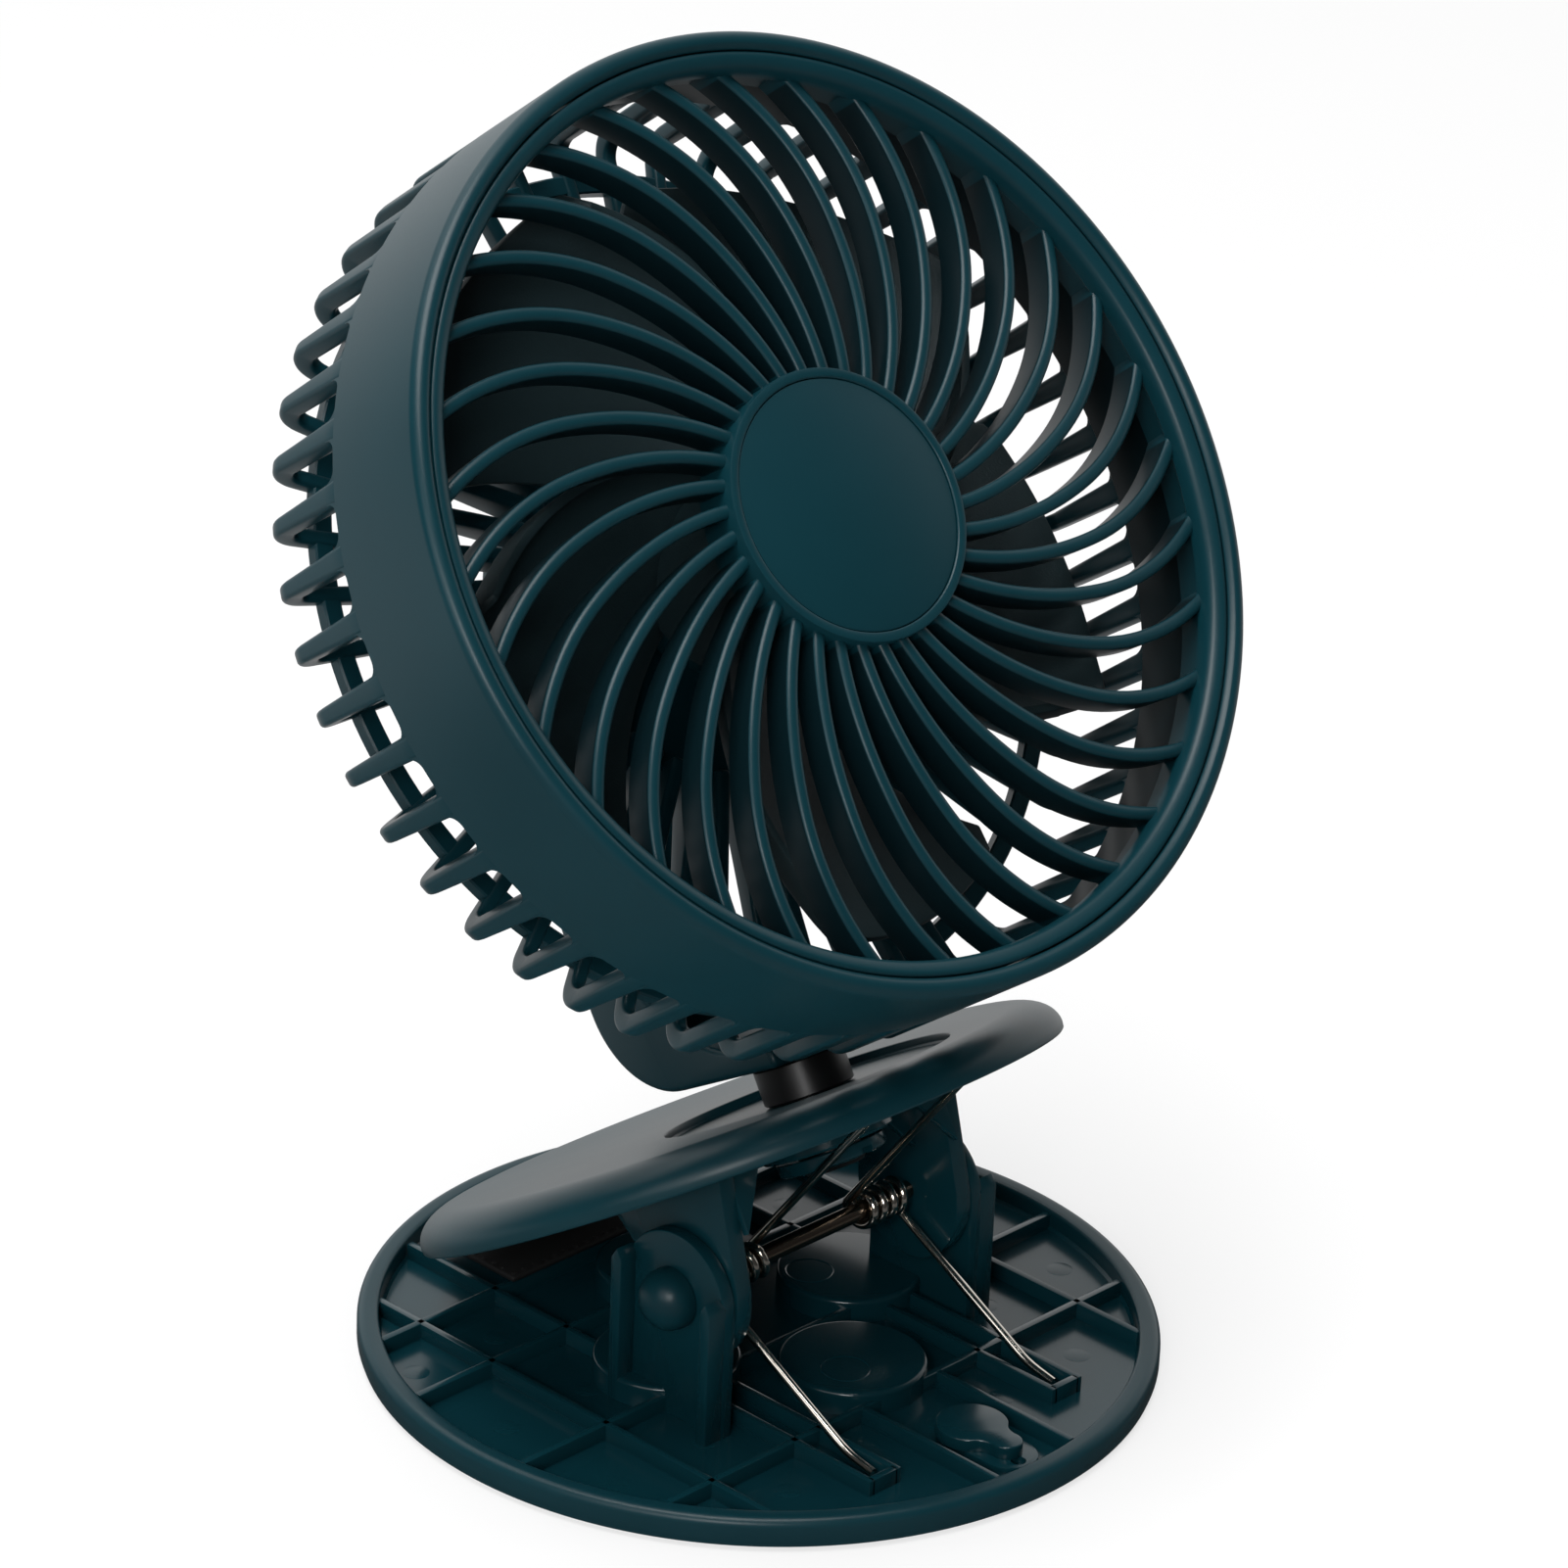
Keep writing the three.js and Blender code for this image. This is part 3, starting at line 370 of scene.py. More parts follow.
def piece(name, place, shapes, material, body, nodes=(), second=None, second_where=None):
    """A finished piece: its shapes as one mesh, its place in its vertices, its body and CAD nodes.
    The faces that second_where picks take the second material."""
    whole = joined(shapes)
    if second_where:
        for face in whole.faces:
            face.material_index = int(second_where(face))
    placed(whole, Matrix.Scale(MM, 4) @ place)
    mesh = bpy.data.meshes.new(name)
    whole.to_mesh(mesh)
    whole.free()
    mesh.shade_smooth()
    mesh.set_sharp_from_angle(angle=SMOOTH_UNDER)
    mesh.materials.append(material)
    if second:
        mesh.materials.append(second)
    made = bpy.data.objects.new(name, mesh)
    bpy.context.scene.collection.objects.link(made)
    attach(made, body)
    if nodes:
        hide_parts(*nodes)


def keep(nodes, material):
    """CAD nodes that show as they are, in a better material."""
    for name in nodes:
        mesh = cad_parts[name].data
        mesh.materials.clear()
        mesh.materials.append(material)


# ---- base ----
def dish_bowl():
    """The round tray with its rolled rim, the pockets for the feet and the keyhole."""
    under, over = -1, 3
    rim = arc(66.4, 3.9, 1.6, 1.6, 0, 90, 8) + arc(65.1, 4.7, 0.8, 0.8, 90, 180, 4)
    bowl = turned([(0, 0), (66.8, 0), (67.7, 0.5), (DISH_R, 1.4), *rim, (64.3, 2.3), (63.8, DISH_FLOOR),
                   (0, DISH_FLOOR)], 192)
    pocket = [(0, under), (PAD_POCKET, under), (PAD_POCKET, POCKET_ROOF), (0, POCKET_ROOF)]
    pockets = [turned(pocket, 48, x, y) for x, y in FOOT_PADS]
    hole = turned([(0, under), (KEYHOLE_R, under), (KEYHOLE_R, over), (0, over)], 32, 0, KEYHOLE_Y)
    slot = block(-SLOT_HALF, SLOT_HALF, KEYHOLE_Y, KEYHOLE_Y + 6, under, over, round_by=0)
    return carved(bowl, [*pockets, hole, slot])


def dish_ribs():
    along_y = [block(x - RIB_HALF, x + RIB_HALF, y0, y1, RIB_FOOT, RIB_TOP) for x, y0, y1 in RIBS_ALONG_Y]
    along_x = [block(x0, x1, y - RIB_HALF, y + RIB_HALF, RIB_FOOT, RIB_TOP) for y, x0, x1 in RIBS_ALONG_X]
    return along_y + along_x


def pad_seat(x, y):
    """The round cover over a foot's pocket."""
    lip = arc(11.7, SEAT_TOP - 0.8, 0.8, 0.8, 0, 90, 5)
    return turned([(0, POCKET_ROOF), (PAD_POCKET, POCKET_ROOF), (PAD_POCKET, 0.9), (12.5, 0.9), *lip,
                   (0, SEAT_TOP)], 96, x, y)


def spring_channel(side):
    near, far = span(side, CHANNEL_NEAR, CHANNEL_FAR)
    walls = [block(x - RIB_HALF, x + RIB_HALF, CHANNEL_END, -12, RIB_FOOT, RIB_TOP) for x in (near, far)]
    return [*walls, block(near, far, CHANNEL_END, CHANNEL_END + 2 * RIB_HALF, RIB_FOOT, RIB_TOP)]


def foot_ear(side):
    """An upright ear on the dish, stiffened by a gusset at its front and one at its rear."""
    front, rear = HINGE_Y - EAR_R, HINGE_Y + EAR_R
    arch = [(front, RIB_FOOT), (rear, RIB_FOOT), *arc(HINGE_Y, HINGE_Z, EAR_R, EAR_R, 0, 180, 28)]
    web = slab(arch, *span(side, 28.3, 31), round_by=0.35)
    gussets = []
    for y0, y1, top in ((front, front + 2.4, 28), (rear - 2.4, rear, 30)):
        shape = [(y0, RIB_FOOT), (y1, RIB_FOOT), (y1, top - 2), ((y0 + y1) / 2, top), (y0, top - 2)]
        gussets.append(slab(shape, *span(side, 30.5, 34.5), round_by=0.4, over=50))
    return [web, *gussets]


def pear(centre, radius, lobe_centre, lobe_radius):
    """A large and a small circle on the line x = 0, joined by a soft waist."""
    wide = arc(0, centre, radius, radius, -32, 212, 40)
    small = arc(0, lobe_centre, lobe_radius, lobe_radius, 168, 372, 24)
    left = bezier(wide[-1], (-lobe_radius - 1.6, centre - radius + 1.4),
                  (-lobe_radius - 0.2, lobe_centre + 3.2), small[0], 8)[:-1]
    return wide + left + small + [(-x, y) for x, y in reversed(left)]


def keyhole_cover():
    """The raised pear over the keyhole, on a lower step with a round hole."""
    roof_outline = [(x, y, 2.8) for x, y in pear(-49.1, 6.1, -56.8, 2.7)]
    roof = extruded(roof_outline, (0, 0, 2.5), round_by=0.35, segments=3)
    step_outline = arc(0, -50, 4.9, 4.9, 0, 180, 16) + arc(0, -57.4, 4.9, 4.9, 180, 360, 24)
    step = extruded([(x, y, 1) for x, y in step_outline], (0, 0, 2), round_by=0.2)
    hole = turned([(0, 0), (1.3, 0), (1.3, 4), (0, 4)], 32, -0.6, -60.1)
    return [roof, carved(step, [hole])]


def seat_mark(x, y, r):
    """A fine raised circle on a seat."""
    low = SEAT_TOP - 0.1
    line = [(r, low), (r, SEAT_TOP), (r - 0.1, SEAT_TOP + 0.08), (r - 0.25, SEAT_TOP), (r - 0.25, low)]
    return turned(line, 64, x, y)


def ejector_mark(x, y):
    """A faint round plateau on the dish's floor."""
    r, low, high = 2.3, DISH_FLOOR - 0.1, DISH_FLOOR + 0.03
    return turned([(0, low), (r, low), (r, DISH_FLOOR + 0.01), (r - 0.1, high), (0, high)], 32, x, y)


def within_rim(face):
    return math.hypot(*face.calc_center_median()[:2]) < 64.2


def build_base():
    shapes = [dish_bowl(), *dish_ribs(), *[pad_seat(x, y) for x, y in FOOT_PADS], *sides(spring_channel),
              *sides(foot_ear), *keyhole_cover(), seat_mark(15.6, 3.4, 4.2), seat_mark(-4, -24, 4.2),
              *[ejector_mark(x, y) for x, y in EJECTOR_MARKS]]
    piece("dish", BASE, shapes, SATIN, "base", ["foot_dish"], GLOSS, within_rim)
    for i, (x, y) in enumerate(FOOT_PADS):
        pad = turned([(0, 0), (9.4, 0), (9.8, 0.2), (10, 0.6), (10, 3.9), (0, 3.9)], 64, x, y)
        piece(f"foot_grip_{i + 1}", BASE, [pad], FOOT_RUBBER, "base", [f"foot_pad_{i + 1}"])
    reach = CAP_X - 0.5
    shaft = bar_across(SHAFT_R, -reach, reach, HINGE_Y, HINGE_Z, round_by=0.25)
    piece("hinge_rod", BASE, [shaft], SHAFT, "base", ["hinge_shaft"])
    for name, side in (("left", -1), ("right", 1)):
        crown = arc(0, CAP_RIM, CAP_R, 4.8, 6, 90, 16)
        dome = turned([(0, 0), (CAP_R, 0), (CAP_R, CAP_RIM), *crown], 64)
        dome = placed(dome, Matrix.Translation((side * CAP_X, HINGE_Y, HINGE_Z)) @ turn(90 * side, "Y"))
        piece(f"hinge_cap_{name}", BASE, [dome], SATIN, "base", [f"pin_cap_{name}"])


# ---- grip pads ----
def toothed_pad(half, y0, y1, low, high, tooth):
    """A slab with soft edges and a row of teeth all round, which stand out by `tooth`, down where it is
    negative."""
    core = block(-half, half, y0, y1, low, high, round_by=0.5, segments=3)
    tip = low + tooth if tooth < 0 else high + tooth
    root = low + 0.3 if tooth < 0 else high - 0.3
    teeth = []
    for y in (y0 + 0.9, y1 - 0.9):
        for i in range(round(2 * (half - 1) / TOOTH_PITCH) + 1):
            teeth.append((-half + 1 + i * TOOTH_PITCH, y))
    for x in (1 - half, half - 1):
        for i in range(1, round((y1 - y0 - 2) / TOOTH_PITCH)):
            teeth.append((x, y0 + 1 + i * TOOTH_PITCH))
    cone = [(0, root), (TOOTH_ROOT_R, root), (TOOTH_TIP_R, tip), (0, tip)]
    return [core, *[turned(cone, 8, x, y) for x, y in teeth]]


# ---- springs ----
def coil_point(side, a, turned_by):
    """A place on the coil at angle a, after the wire has turned by that much from the upper leg."""
    x = COIL_IN_X + (side - 1) * LEFT_SHIFT / 2 + COIL_PITCH * turned_by / FULL
    return (side * x, HINGE_Y + COIL_R * math.cos(a), HINGE_Z + COIL_R * math.sin(a))


def upper_leg(side):
    """The leg that presses up under the plate, with the first part of the curl that turns with it."""
    y0, z0 = HINGE_Y + COIL_R * math.cos(LEG_UP), HINGE_Z + COIL_R * math.sin(LEG_UP)
    up = (-math.sin(LEG_UP), math.cos(LEG_UP))
    x = coil_point(side, 0, 0)[0]
    leg = [(x, y0 + up[0] * t, z0 + up[1] * t) for t in (43.6, 30, 15, 4, 1)]
    curl = [coil_point(side, LEG_UP - math.radians(d), math.radians(d)) for d in range(0, 36, 4)]
    return wire(leg + curl, WIRE_R + 0.01)


def coil_and_lower_leg(side):
    """Four turns and a part, then the leg down to its channel, with a bend before its tip."""
    turns = 4 * FULL + LEG_UP - LEG_DOWN
    steps = 170
    path = [coil_point(side, LEG_UP - turns * i / steps, turns * i / steps) for i in range(steps + 1)]
    x, y1, z1 = path[-1]
    bend, tip = Vector((x, -41, 4.2)), Vector((x, -47, 3.1))
    start = Vector((x, y1, z1))
    path += [tuple(start.lerp(bend, f)) for f in (0.05, 0.5, 0.93)]
    into, out_of = start.lerp(bend, 0.93), bend.lerp(tip, 0.4)
    for f in (0.25, 0.5, 0.75):
        path.append(tuple(into.lerp(bend, f).lerp(bend.lerp(out_of, f), f)))
    path += [tuple(out_of), tuple(tip)]
    return wire(path, WIRE_R)


def build_springs():
    for name, side in (("left", -1), ("right", 1)):
        piece(f"spring_coil_{name}", BASE, [coil_and_lower_leg(side)], NICKEL, "base",
              [f"spring_{name}"])
        piece(f"spring_leg_{name}", BASE, [upper_leg(side)], NICKEL, "jaw")


# ---- jaw ----
def jaw_lid():
    """A round shell with a soft edge: a shallow recess about the post, its bore, and the boss under it."""
    top, floor, boss = LID_TOP, RECESS_FLOOR, BOSS_R
    edge = [*arc(49.5, 1.1, 7.5, 5.3, 0, 90, 12), (49.2, top)]
    recess = [(25.6, top), (25.3, top), (25.1, top - 0.1), (25, top - 0.4), (25, floor + 0.4),
              (24.8, floor + 0.1), (24.6, floor), (24.2, floor)]
    bore = [(6.4, floor), (6.1, floor), (5.8, floor - 0.3), (5.8, -4)]
    underside = [(boss - 0.4, -4), (boss, -3.6), (boss, 2.2), (boss + 0.4, 2.6), (26.6, 2.6), (27, 3),
                 (27, LID_UNDER)]
    inside = [(49.5, LID_UNDER), (51.8, 4.1), (53.6, 3), (54.7, 1.4), (55.2, 0), (56.6, 0), (56.9, 0.3)]
    about_post = [(0, POST_V, r, w) for r, w in recess + bore + underside]
    return ringed([(0, 0, r, w) for r, w in edge] + about_post + [(0, 0, r, w) for r, w in inside])


def to_jaw(y, z):
    """A place in the base's frame, taken to the jaw's."""
    spot = JAW.inverted() @ Vector((0, y, z))
    return spot.y, spot.z


def jaw_side(side):
    """A cheek that turns on the rod, two webs that hold it to the lid, and a stop for the spring's leg."""
    cheek = [(-15.4, 49.6), (-21.4, 27.2), *arc(HINGE_Y, HINGE_Z, 11.6, 12.5, 170, 372, 32), (7.2, 31.4),
             (9.6, 35.6)]
    shapes = [slab([to_jaw(y, z) for y, z in cheek], *span(side, 24.5, 28), round_by=0.35)]
    for v in (-23, -13):
        corners = [(15.5, 3), (15.5, 1.5), (25, -12), (25, 3)]
        shapes.append(extruded([(side * x, v, w) for x, w in corners], (0, 1.6, 0), round_by=0.2))
    shapes.append(block(*span(side, 11.5, 14.7), -48.6, -42.6, 2.2, 5))
    return shapes


def below_lid(face):
    return face.calc_center_median().z < -0.5


def build_jaw():
    holder = block(-21.6, 21.6, 30.4, 50, 2.5, 5)
    piece("jaw_cover", JAW, [jaw_lid(), holder, *sides(jaw_side)], SATIN, "jaw",
          ["jaw_plate"], GLOSS, below_lid)
    pad = toothed_pad(21, 31, 49.4, -0.3, 2.2, -1.0)
    piece("upper_grip", JAW, pad, RUBBER, "jaw", ["upper_grip_pad"])
    lower = toothed_pad(24, 35.2, 57.6, 4.9, 6.1, 0.2)
    piece("lower_grip", BASE, lower, RUBBER, "base", ["lower_grip_pad"])


# ---- swivel post and arm ----
def arm_outline():
    """The bent arm from the side: up and back from the post, then forward to the knuckle."""
    knuckle = arc(*KNUCKLE, 7, 7, 58, 235, 20)
    rear = arc(17, 22, 16.5, 16.5, -90, 0, 20)
    outer = bezier((33.5, 44), (33.5, 66), (27, 78), (14.04, 87.52), 12)[:-1]
    inner = bezier(knuckle[-1], (13, 70), (23, 62), (23, 44), 12)
    inner += bezier((23, 44), (23, 30), (19, 22), (12.7, 16), 10)
    inner += bezier((12.7, 16), (8, 11.6), (4, 10), (-2, 9.8), 8)
    return [(-9.5, 5.4), *rear, (33.5, 44), *outer, *knuckle, *inner, (-8, 9.6), (-9.5, 8.2)]


def arm_body():
    """The arm, hollow in its lower half, with a bore for the post and a tongue at the knuckle."""
    body = slab(arm_outline(), -ARM_HALF, ARM_HALF, round_by=1.1, segments=4, over=60)
    inner = arc(17, 22, 14, 14, -90, 0, 14)
    hollow = slab([(11, 8), *inner, (31, 44), (29.6, 54), (12, 54), (6, 20)], -10.1, 10.1)
    beside_tongue = [block(*span(side, 5.7, 20), -4, 18.4, 70, 95, round_by=0) for side in (-1, 1)]
    bore = turned([(0, 4), (4.7, 4), (4.7, 8.9), (0, 8.9)], 48)
    return carved(body, [hollow, bore, *beside_tongue])


def build_arm():
    post = turned([(0, -14.4), (4.9, -14.4), (5.5, -13.6), (5.5, -1.3), (7.55, -1.3), (7.85, -1), (7.85, 4.7),
                   (7.5, 5.1), (4.4, 5.1), (4.4, 8.6), (0, 8.6)], 96)
    piece("post", SWIVEL, [post], BLACK, "swivel_arm", ["swivel_post"])
    collar = turned([(5.8, -13.4), (8.6, -13.4), (9.2, -13.1), (9.4, -12.6), (9.4, -11.1), (9.2, -10.9),
                     (5.8, -10.9)], 64)
    slots = [block(-1.2, 1.2, *span(s, 6.6, 12), -14.5, -12.2, round_by=0) for s in (-1, 1)]
    piece("snap_collar", SWIVEL, [carved(collar, slots)], GLOSS, "swivel_arm",
          ["post_collar"])
    piece("bent_arm", SWIVEL, [arm_body()], SATIN, "swivel_arm", ["arm"])
    pin = bar_across(1.6, -10.4, 10.4, *KNUCKLE, 32, round_by=0.2)
    piece("knuckle_pin", SWIVEL, [pin], STEEL, "swivel_arm", ["tilt_pin"])


# ---- fan head ----
def drum_wall():
    bead = arc(78.2, 1.0, WALL_R - 78.2, 1.9, 0, 115, 12)
    return turned([*bead, (WALL_IN + 0.15, 2.1), (WALL_IN, 1.8), (WALL_IN, WALL_END + 0.4),
                   (WALL_IN + 0.3, WALL_END), (WALL_R - 0.3, WALL_END), (WALL_R, WALL_END + 0.3)], 240)


def fin():
    """One bar of the cage: it runs on from the wall, narrows, turns a soft corner and deepens to the
    mount."""
    outer = [(79.96, -20), (79.96, -24), *arc(74.4, -38.3, 5.56, 5.5, 0, -90, 12), (54, MOUNT_BACK),
             (32, MOUNT_BACK)]
    inner = [(76.8, -20), (76.8, -24), *arc(73.8, -37.4, 2.9, 3.3, 0, -90, 12), (54, -40.2), (32, -36.6)]
    halves = [2.1, 1.95, 1.45, *[1.4 - 0.01 * k for k in range(1, 13)], 1.3, 1.3]
    rows = []
    for (r0, w0), (r1, w1), half in zip(outer, inner, halves):
        rows.append([(r0, -half, w0), (r0, half, w0), (r1, half, w1), (r1, -half, w1)])
    bar = swept(rows)
    return cleaned(bar, 0.8, 4, over=60)


def fin_root():
    """The soft corners where a bar leaves the wall."""
    bend = [math.radians(d) for d in range(0, 91, 15)]
    left = [(-3.9 + 2.2 * math.cos(a), -23.6 + 2.2 * math.sin(a)) for a in bend]
    right = [(-x, w) for x, w in left]
    outline = [(-3.9, -20.5), *reversed(left), (-0.8, -25.5), (0.8, -25.5), *right, (3.9, -20.5)]
    plate = extruded([(77, x, w) for x, w in outline], (2.85, 0, 0))
    for vert in plate.verts:  # wrapped round the drum
        r, a = vert.co.x, vert.co.y / WALL_R
        vert.co.x, vert.co.y = r * math.cos(a), r * math.sin(a)
    return plate


# Picks the drum's inner wall, which takes the painted shade.
def painted_shade_wall(face):
    centre = face.calc_center_median()
    return 76 < math.hypot(centre.x, centre.y) < 77.3 and -21.6 < centre.z < 1


def build_shell():
    ring = turned([(68.3, -43.2), (68.6, -43.5), (71.4, -43.5), (71.7, -43.2), (71.7, -41.2), (71.4, -40.9),
                   (68.6, -40.9), (68.3, -41.2)], 192)
    disc = turned([(0, MOUNT_BACK), (33.6, MOUNT_BACK), (34, MOUNT_BACK + 0.4), (34, -40), (33.6, -39.6),
                   (0, -39.6)], 96)
    cup = turned([(13.4, -40.6), (15.2, -40.6), (15.2, -33.3), (14.9, -33), (13.7, -33), (13.4, -33.3)], 64)
    cage = [around(fin(), FINS), around(fin_root(), FINS)]
    # The drum's inner wall takes the darker teal of painted shade.
    piece("drum_and_cage", HEAD, [drum_wall(), ring, disc, cup, *cage], SATIN, "fan_head",
          ["rear_shell"], PAINTED_SHADE_TEAL, painted_shade_wall)


def rib_angle(r):
    """How far round a rib is at that radius."""
    past = max(0, r - BEND_FROM)
    return math.radians(7.3 + SWEEP * (r - HUB_R) + BEND / 2 * past * past)


def rib_lean(r):
    """The angle between the rib and the radius."""
    return math.atan(r * math.radians(SWEEP + BEND * max(0, r - BEND_FROM)))


def spiral_rib():
    """One rib of the grille: its front rises from the hub and falls to the rim."""
    half = 1.15
    nose = arc(0, -0.8, half, 0.8, 0, 180, 9)
    section = [*nose, (-half * 0.72, -6.2), (-half * 0.5, -6.5), (half * 0.5, -6.5), (half * 0.72, -6.2)]
    rows = []
    steps = 36
    for i in range(steps + 1):
        f = i / steps
        r = RIB_START + RIB_LENGTH * f
        a = rib_angle(r)
        b = a + math.pi / 2 + rib_lean(r)
        front = 1.6 + 1.6 * f - 4.6 * f * f
        rows.append([(r * math.cos(a) + t * math.cos(b), r * math.sin(a) + t * math.sin(b), front + w)
                     for t, w in section])
    return swept(rows)


# Picks the sides of the grille's ribs, which take the painted shade.
def painted_shade_rib_sides(face):
    return abs(face.normal.z) < 0.35 and 23.5 < math.hypot(*face.calc_center_median()[:2]) < 73


def build_grille():
    bezel_front = [(76.45, 1.5), (76.35, 1.85), (76, 2.05), (75.5, 2.05), (74.3, 1.55), (73.8, 1.1),
                   (73.5, 0.3)]
    bezel_back = [(73.4, -0.8), (73.4, -2), (74.6, -3.4), (74.6, -7.7), (74.9, -8), (76.1, -8), (76.4, -7.7)]
    bezel = turned(bezel_front + bezel_back, 240)
    hub_front = [(0, 0.4), (21.1, 0.4), (21.1, 2.85), (21.2, 3.0), (21.35, 3.08), (22.4, 3.08),
                 (22.68, 2.98)]
    hub_back = [(HUB_R, 2.7), (HUB_R, -5.5), (21, -5.5), (21, -1.8), (0, -1.8)]
    hub = turned(hub_front + hub_back, 128)
    # The sides of the ribs take the darker teal of painted shade.
    piece("spiral_grille", HEAD, [bezel, hub, around(spiral_rib(), RIBS)], SATIN, "fan_head",
          ["front_grille"], PAINTED_SHADE_TEAL, painted_shade_rib_sides)
    cap = turned([(0, 0.7), (20.98, 0.7), (20.98, 2.62), (20.9, 2.76), (20.75, 2.82), (0, 2.82)], 128)
    piece("hub_disc", HEAD, [cap], SATIN, "fan_head", ["hub_cap"])


def blade():
    """A cambered sheet with soft outer corners, front edge clockwise of its rear edge."""
    across, outwards = 26, 18
    bm = bmesh.new()
    bmesh.ops.create_grid(bm, x_segments=across, y_segments=outwards, size=0.5)
    for vert in bm.verts:
        g, f = vert.co.x + 0.5, vert.co.y + 0.5
        edge = max(0, (abs(g - 0.5) - 0.41) / 0.09)
        tip = BLADE_OUT - 4.5 * (1 - math.sqrt(max(0, 1 - edge * edge)))
        r = BLADE_IN + (tip - BLADE_IN) * f
        a = math.radians(-84 + 43 * f + (70 - 19 * f) * g)
        w = -11.5 - 20 * g ** 0.62 - (1 - f) * 1.5 * g
        vert.co = (r * math.cos(a), r * math.sin(a), w - 0.9)
    bmesh.ops.recalc_face_normals(bm, faces=bm.faces)
    bmesh.ops.solidify(bm, geom=bm.faces[:], thickness=1.7)
    bmesh.ops.translate(bm, vec=(0, 0, 0.85), verts=bm.verts)
    return cleaned(bm, 0.45, over=50)


def build_rotor():
    hub = turned([(0, -8.5), (15.2, -8.5), (16.6, -8.9), (17.6, -9.9), (18, -11.3), (18, -32), (16, -32),
                  (16, -11.5), (4, -11.5), (4, -16.4), (1.3, -16.4), (1.3, -10), (0, -10)], 96)
    # The blades take the teal with painted light.
    piece("five_blade_rotor", HEAD, [hub, around(blade(), BLADES)], BLADE, "rotor",
          ["impeller"])


def build_back():
    tube = turned([(28, -44.1), (30, -44.1), (30, -56), (28, -56)], 120)
    slot = block(-4.8, 4.8, -34, -25, -52.4, -48.6, round_by=0.6)
    piece("back_housing", HEAD, [carved(tube, [slot])], SATIN, "fan_head", ["rear_housing"])
    lid = turned([(0, -56.3), (29.8, -56.3), (30, -56.5), (30, -57.6), *arc(28.6, -57.6, 1.4, 1.4, 0, -90, 5),
                  (0, -59)], 120)
    out, through, seat = -62, -55, -57.4
    holes = [(5.3, 0, 19, through), (1.8, 10, 19, through)]
    holes += [(2.2, x, y, seat) for x in (-20, 20) for y in (-14, 14)]
    tools = [turned([(0, out), (r, out), (r, end), (0, end)], 32, x, y) for r, x, y, end in holes]
    lug = [(-7, -58), (7, -58), *arc(0, -67, 7, 7, 0, -180, 24)]
    lugs = [slab(lug, *span(side, 6.1, 10.4), round_by=0.5, segments=3) for side in (-1, 1)]
    piece("back_cover", HEAD, [carved(lid, tools), *lugs], SATIN, "fan_head", ["rear_cover"])
    for i, (x, y) in enumerate(((-20, 14), (20, 14), (-20, -14), (20, -14))):
        head = turned([(0, -58.4), (1.6, -58.7), (1.9, -58.2), (1.9, -57.7), (0, -57.7)], 32)
        cross = [block(-a, a, -b, b, -60, -58.1, round_by=0) for a, b in ((1.1, 0.25), (0.25, 1.1))]
        made = placed(carved(head, cross), Matrix.Translation((x, y, 0)))
        piece(f"back_screw_{i + 1}", HEAD, [made], STEEL, "fan_head", [f"cover_screw_{i + 1}"])
    button = turned([(0, -60.2), (3.9, -60.2), (4.6, -60), (5, -59.5), (5, -56), (6.2, -56), (6.2, -55.2),
                     (0, -55.2)], 64, 0, 19)
    piece("push_button", HEAD, [button], BLACK, "button", ["power_button"])
    lens = turned([(0, -59.2), (1.2, -59.2), (1.5, -58.9), (1.5, -56.6), (0, -56.6)], 32, 10, 19)
    piece("light_lens", HEAD, [lens], LENS, "fan_head", ["indicator_lens"])


# ---- studio ----
BEHIND = (0.72, 0.69, 0.0)  # the way the camera looks, level
REAR_FLOOR = (0.35, 0.94, 0.0)  # the way over the floor to where it is bright in mirror images
FLOOR_GLOW = 0.72
FRONT_GLOW = 0.04
LAMPS = {"key": ((-0.35, -0.05, 1.95), 1.1, 34), "rear": ((-0.2, 0.9, 1.7), 1.4, 10),
         "side": ((-1.5, -0.25, 0.9), 0.9, 5), "front": ((-1.25, -0.85, 0.85), 0.45, 9)}
LAMPS_AIM = (0, 0, 0.1)


def emptied(owner):
    """The owner's node tree with nothing in it, and a signal to start from."""
    owner.use_nodes = True
    owner.node_tree.nodes.clear()
    return owner.node_tree, Signal(owner.node_tree, None)


def rays(tree, *kinds):
    path = tree.nodes.new("ShaderNodeLightPath")
    return [Signal(tree, path.outputs[f"Is {kind} Ray"]) for kind in kinds]


def rising(start, value, low, high, dark, bright):
    """A soft climb from `dark` to `bright` as the value goes from low to high."""
    return start.node("ShaderNodeMapRange", {"interpolation_type": "SMOOTHSTEP"}, Value=value,
                      i1=low, i2=high, i3=dark, i4=bright)


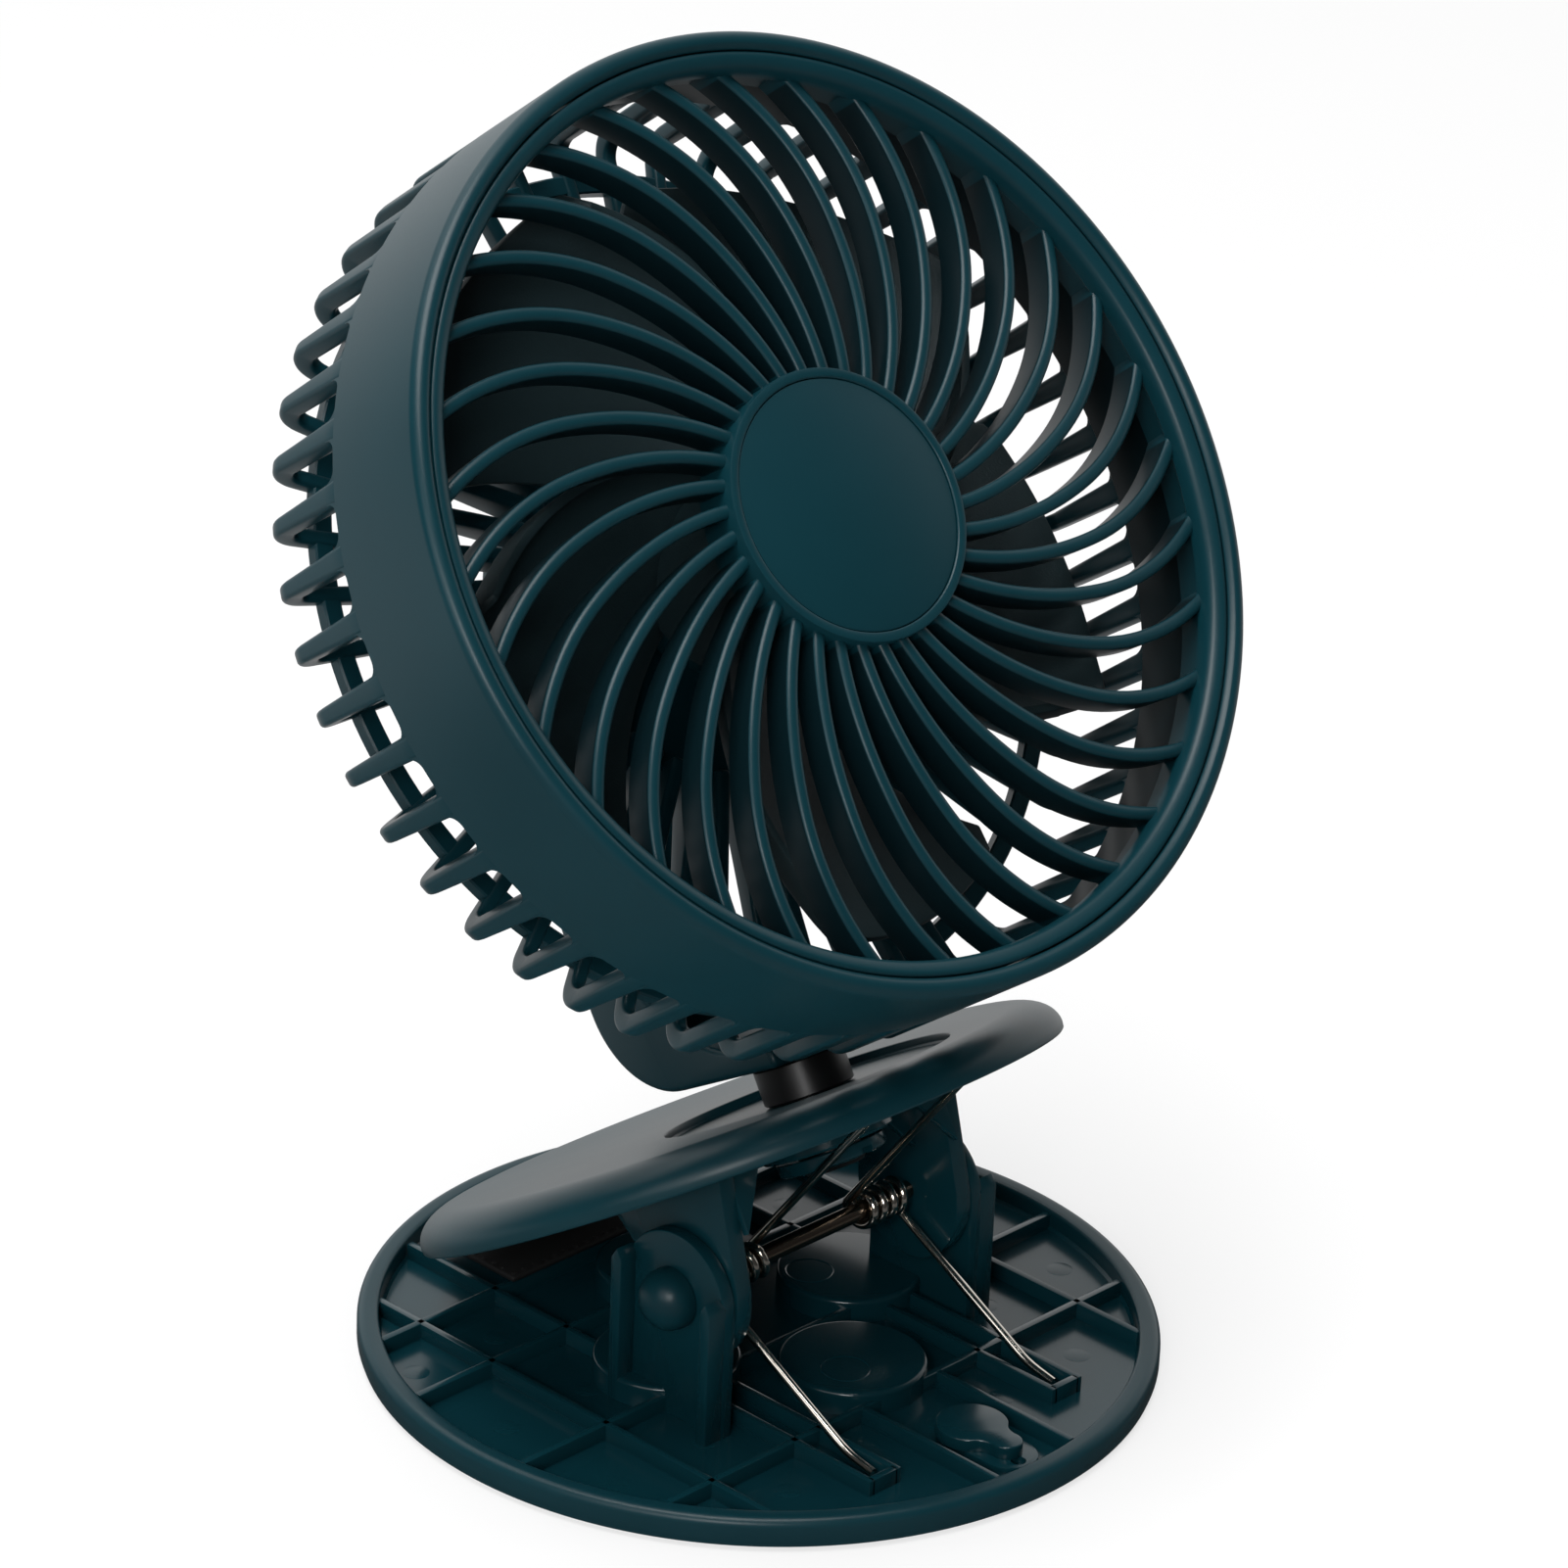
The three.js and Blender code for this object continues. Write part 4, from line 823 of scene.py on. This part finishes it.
def dressed_floor(floor):
    """White to the camera, with the part's shadow. In mirror images it is bright only towards the rear."""
    material = bpy.data.materials.new("studio_white")
    tree, start = emptied(material)
    camera, mirror, through = rays(tree, "Camera", "Glossy", "Transmission")
    place = start.node("ShaderNodeTexCoord", out=3)
    away = start.node("ShaderNodeVectorMath", {"operation": "DOT_PRODUCT"}, out=1, i0=place, i1=REAR_FLOOR)
    backdrop = rising(start, away, 0.0, 0.16, 0.0, 1.0)
    shown = camera.larger(through.larger(mirror * backdrop)) * FLOOR_GLOW
    pale = start.node("ShaderNodeBsdfDiffuse", Color=(0.86, 0.86, 0.86, 1))
    dim = start.node("ShaderNodeBsdfDiffuse", Color=(0.08, 0.08, 0.08, 1))
    matt = start.node("ShaderNodeMixShader", Fac=mirror, i1=pale, i2=dim)
    glow = start.node("ShaderNodeEmission", Color=(1, 1, 1, 1), Strength=1.0)
    mixed = start.node("ShaderNodeMixShader", Fac=shown, i1=matt, i2=glow)
    out = tree.nodes.new("ShaderNodeOutputMaterial")
    tree.links.new(mixed.socket, out.inputs["Surface"])
    floor.data.materials.append(material)


def dressed_world(world):
    """White to the camera. On the part it is bright behind and dark in front."""
    tree, start = emptied(world)
    camera, = rays(tree, "Camera")
    heading = start.node("ShaderNodeTexCoord", out=0)
    away = start.node("ShaderNodeVectorMath", {"operation": "DOT_PRODUCT"}, out=1, i0=heading, i1=BEHIND)
    back = rising(start, away, 0.1, 0.75, FRONT_GLOW, 1.0)
    light = start.node("ShaderNodeBackground", Color=(1, 1, 1, 1), Strength=back.larger(camera))
    out = tree.nodes.new("ShaderNodeOutputWorld")
    tree.links.new(light.socket, out.inputs["Surface"])


def build_studio():
    bpy.ops.mesh.primitive_plane_add(size=9, location=(0, 0, -0.0004))
    floor = bpy.context.object
    floor.name = "studio_floor"
    dressed_floor(floor)

    world = bpy.context.scene.world or bpy.data.worlds.new("studio")
    bpy.context.scene.world = world
    dressed_world(world)

    for name, (spot, size, power) in LAMPS.items():
        lamp = bpy.data.lights.new(name, "AREA")
        lamp.size, lamp.energy = size, power
        made = bpy.data.objects.new(name, lamp)
        made.location = spot
        made.rotation_euler = (Vector(LAMPS_AIM) - Vector(spot)).to_track_quat("-Z", "Y").to_euler()
        bpy.context.scene.collection.objects.link(made)


# ---- camera, as solved from the photograph ----
AZIMUTH, ELEVATION, ROLL = math.radians(-46.64), math.radians(24.47), math.radians(2.42)
TARGET, DISTANCE = (0.56, 0, 103.3), 999.71
SENSOR, FOCAL = 36, 141.05


def build_camera():
    ahead = Vector((-math.sin(AZIMUTH) * math.cos(ELEVATION), math.cos(AZIMUTH) * math.cos(ELEVATION),
                    -math.sin(ELEVATION)))
    level = ahead.cross(Vector((0, 0, 1))).normalized()
    upright = level.cross(ahead)
    right = math.cos(ROLL) * level + math.sin(ROLL) * upright
    up = math.cos(ROLL) * upright - math.sin(ROLL) * level
    lens = bpy.data.cameras.new("photo_camera")
    lens.sensor_width, lens.lens = SENSOR, FOCAL
    lens.clip_start, lens.clip_end = 0.01, 50
    camera = bpy.data.objects.new("photo_camera", lens)
    turned_to = Matrix((right, up, -ahead)).transposed().to_4x4()
    camera.matrix_world = Matrix.Translation((Vector(TARGET) - ahead * DISTANCE) * MM) @ turned_to
    bpy.context.scene.collection.objects.link(camera)
    bpy.context.scene.camera = camera
    bpy.context.scene.view_settings.view_transform = "Standard"


build_base()
build_springs()
build_jaw()
build_arm()
build_shell()
build_grille()
build_rotor()
build_back()
keep(["motor_can", "motor_shaft", "usb_socket"], STEEL)
keep(["battery_pack"], WRAP)
keep(["circuit_board"], BOARD)
build_studio()
build_camera()
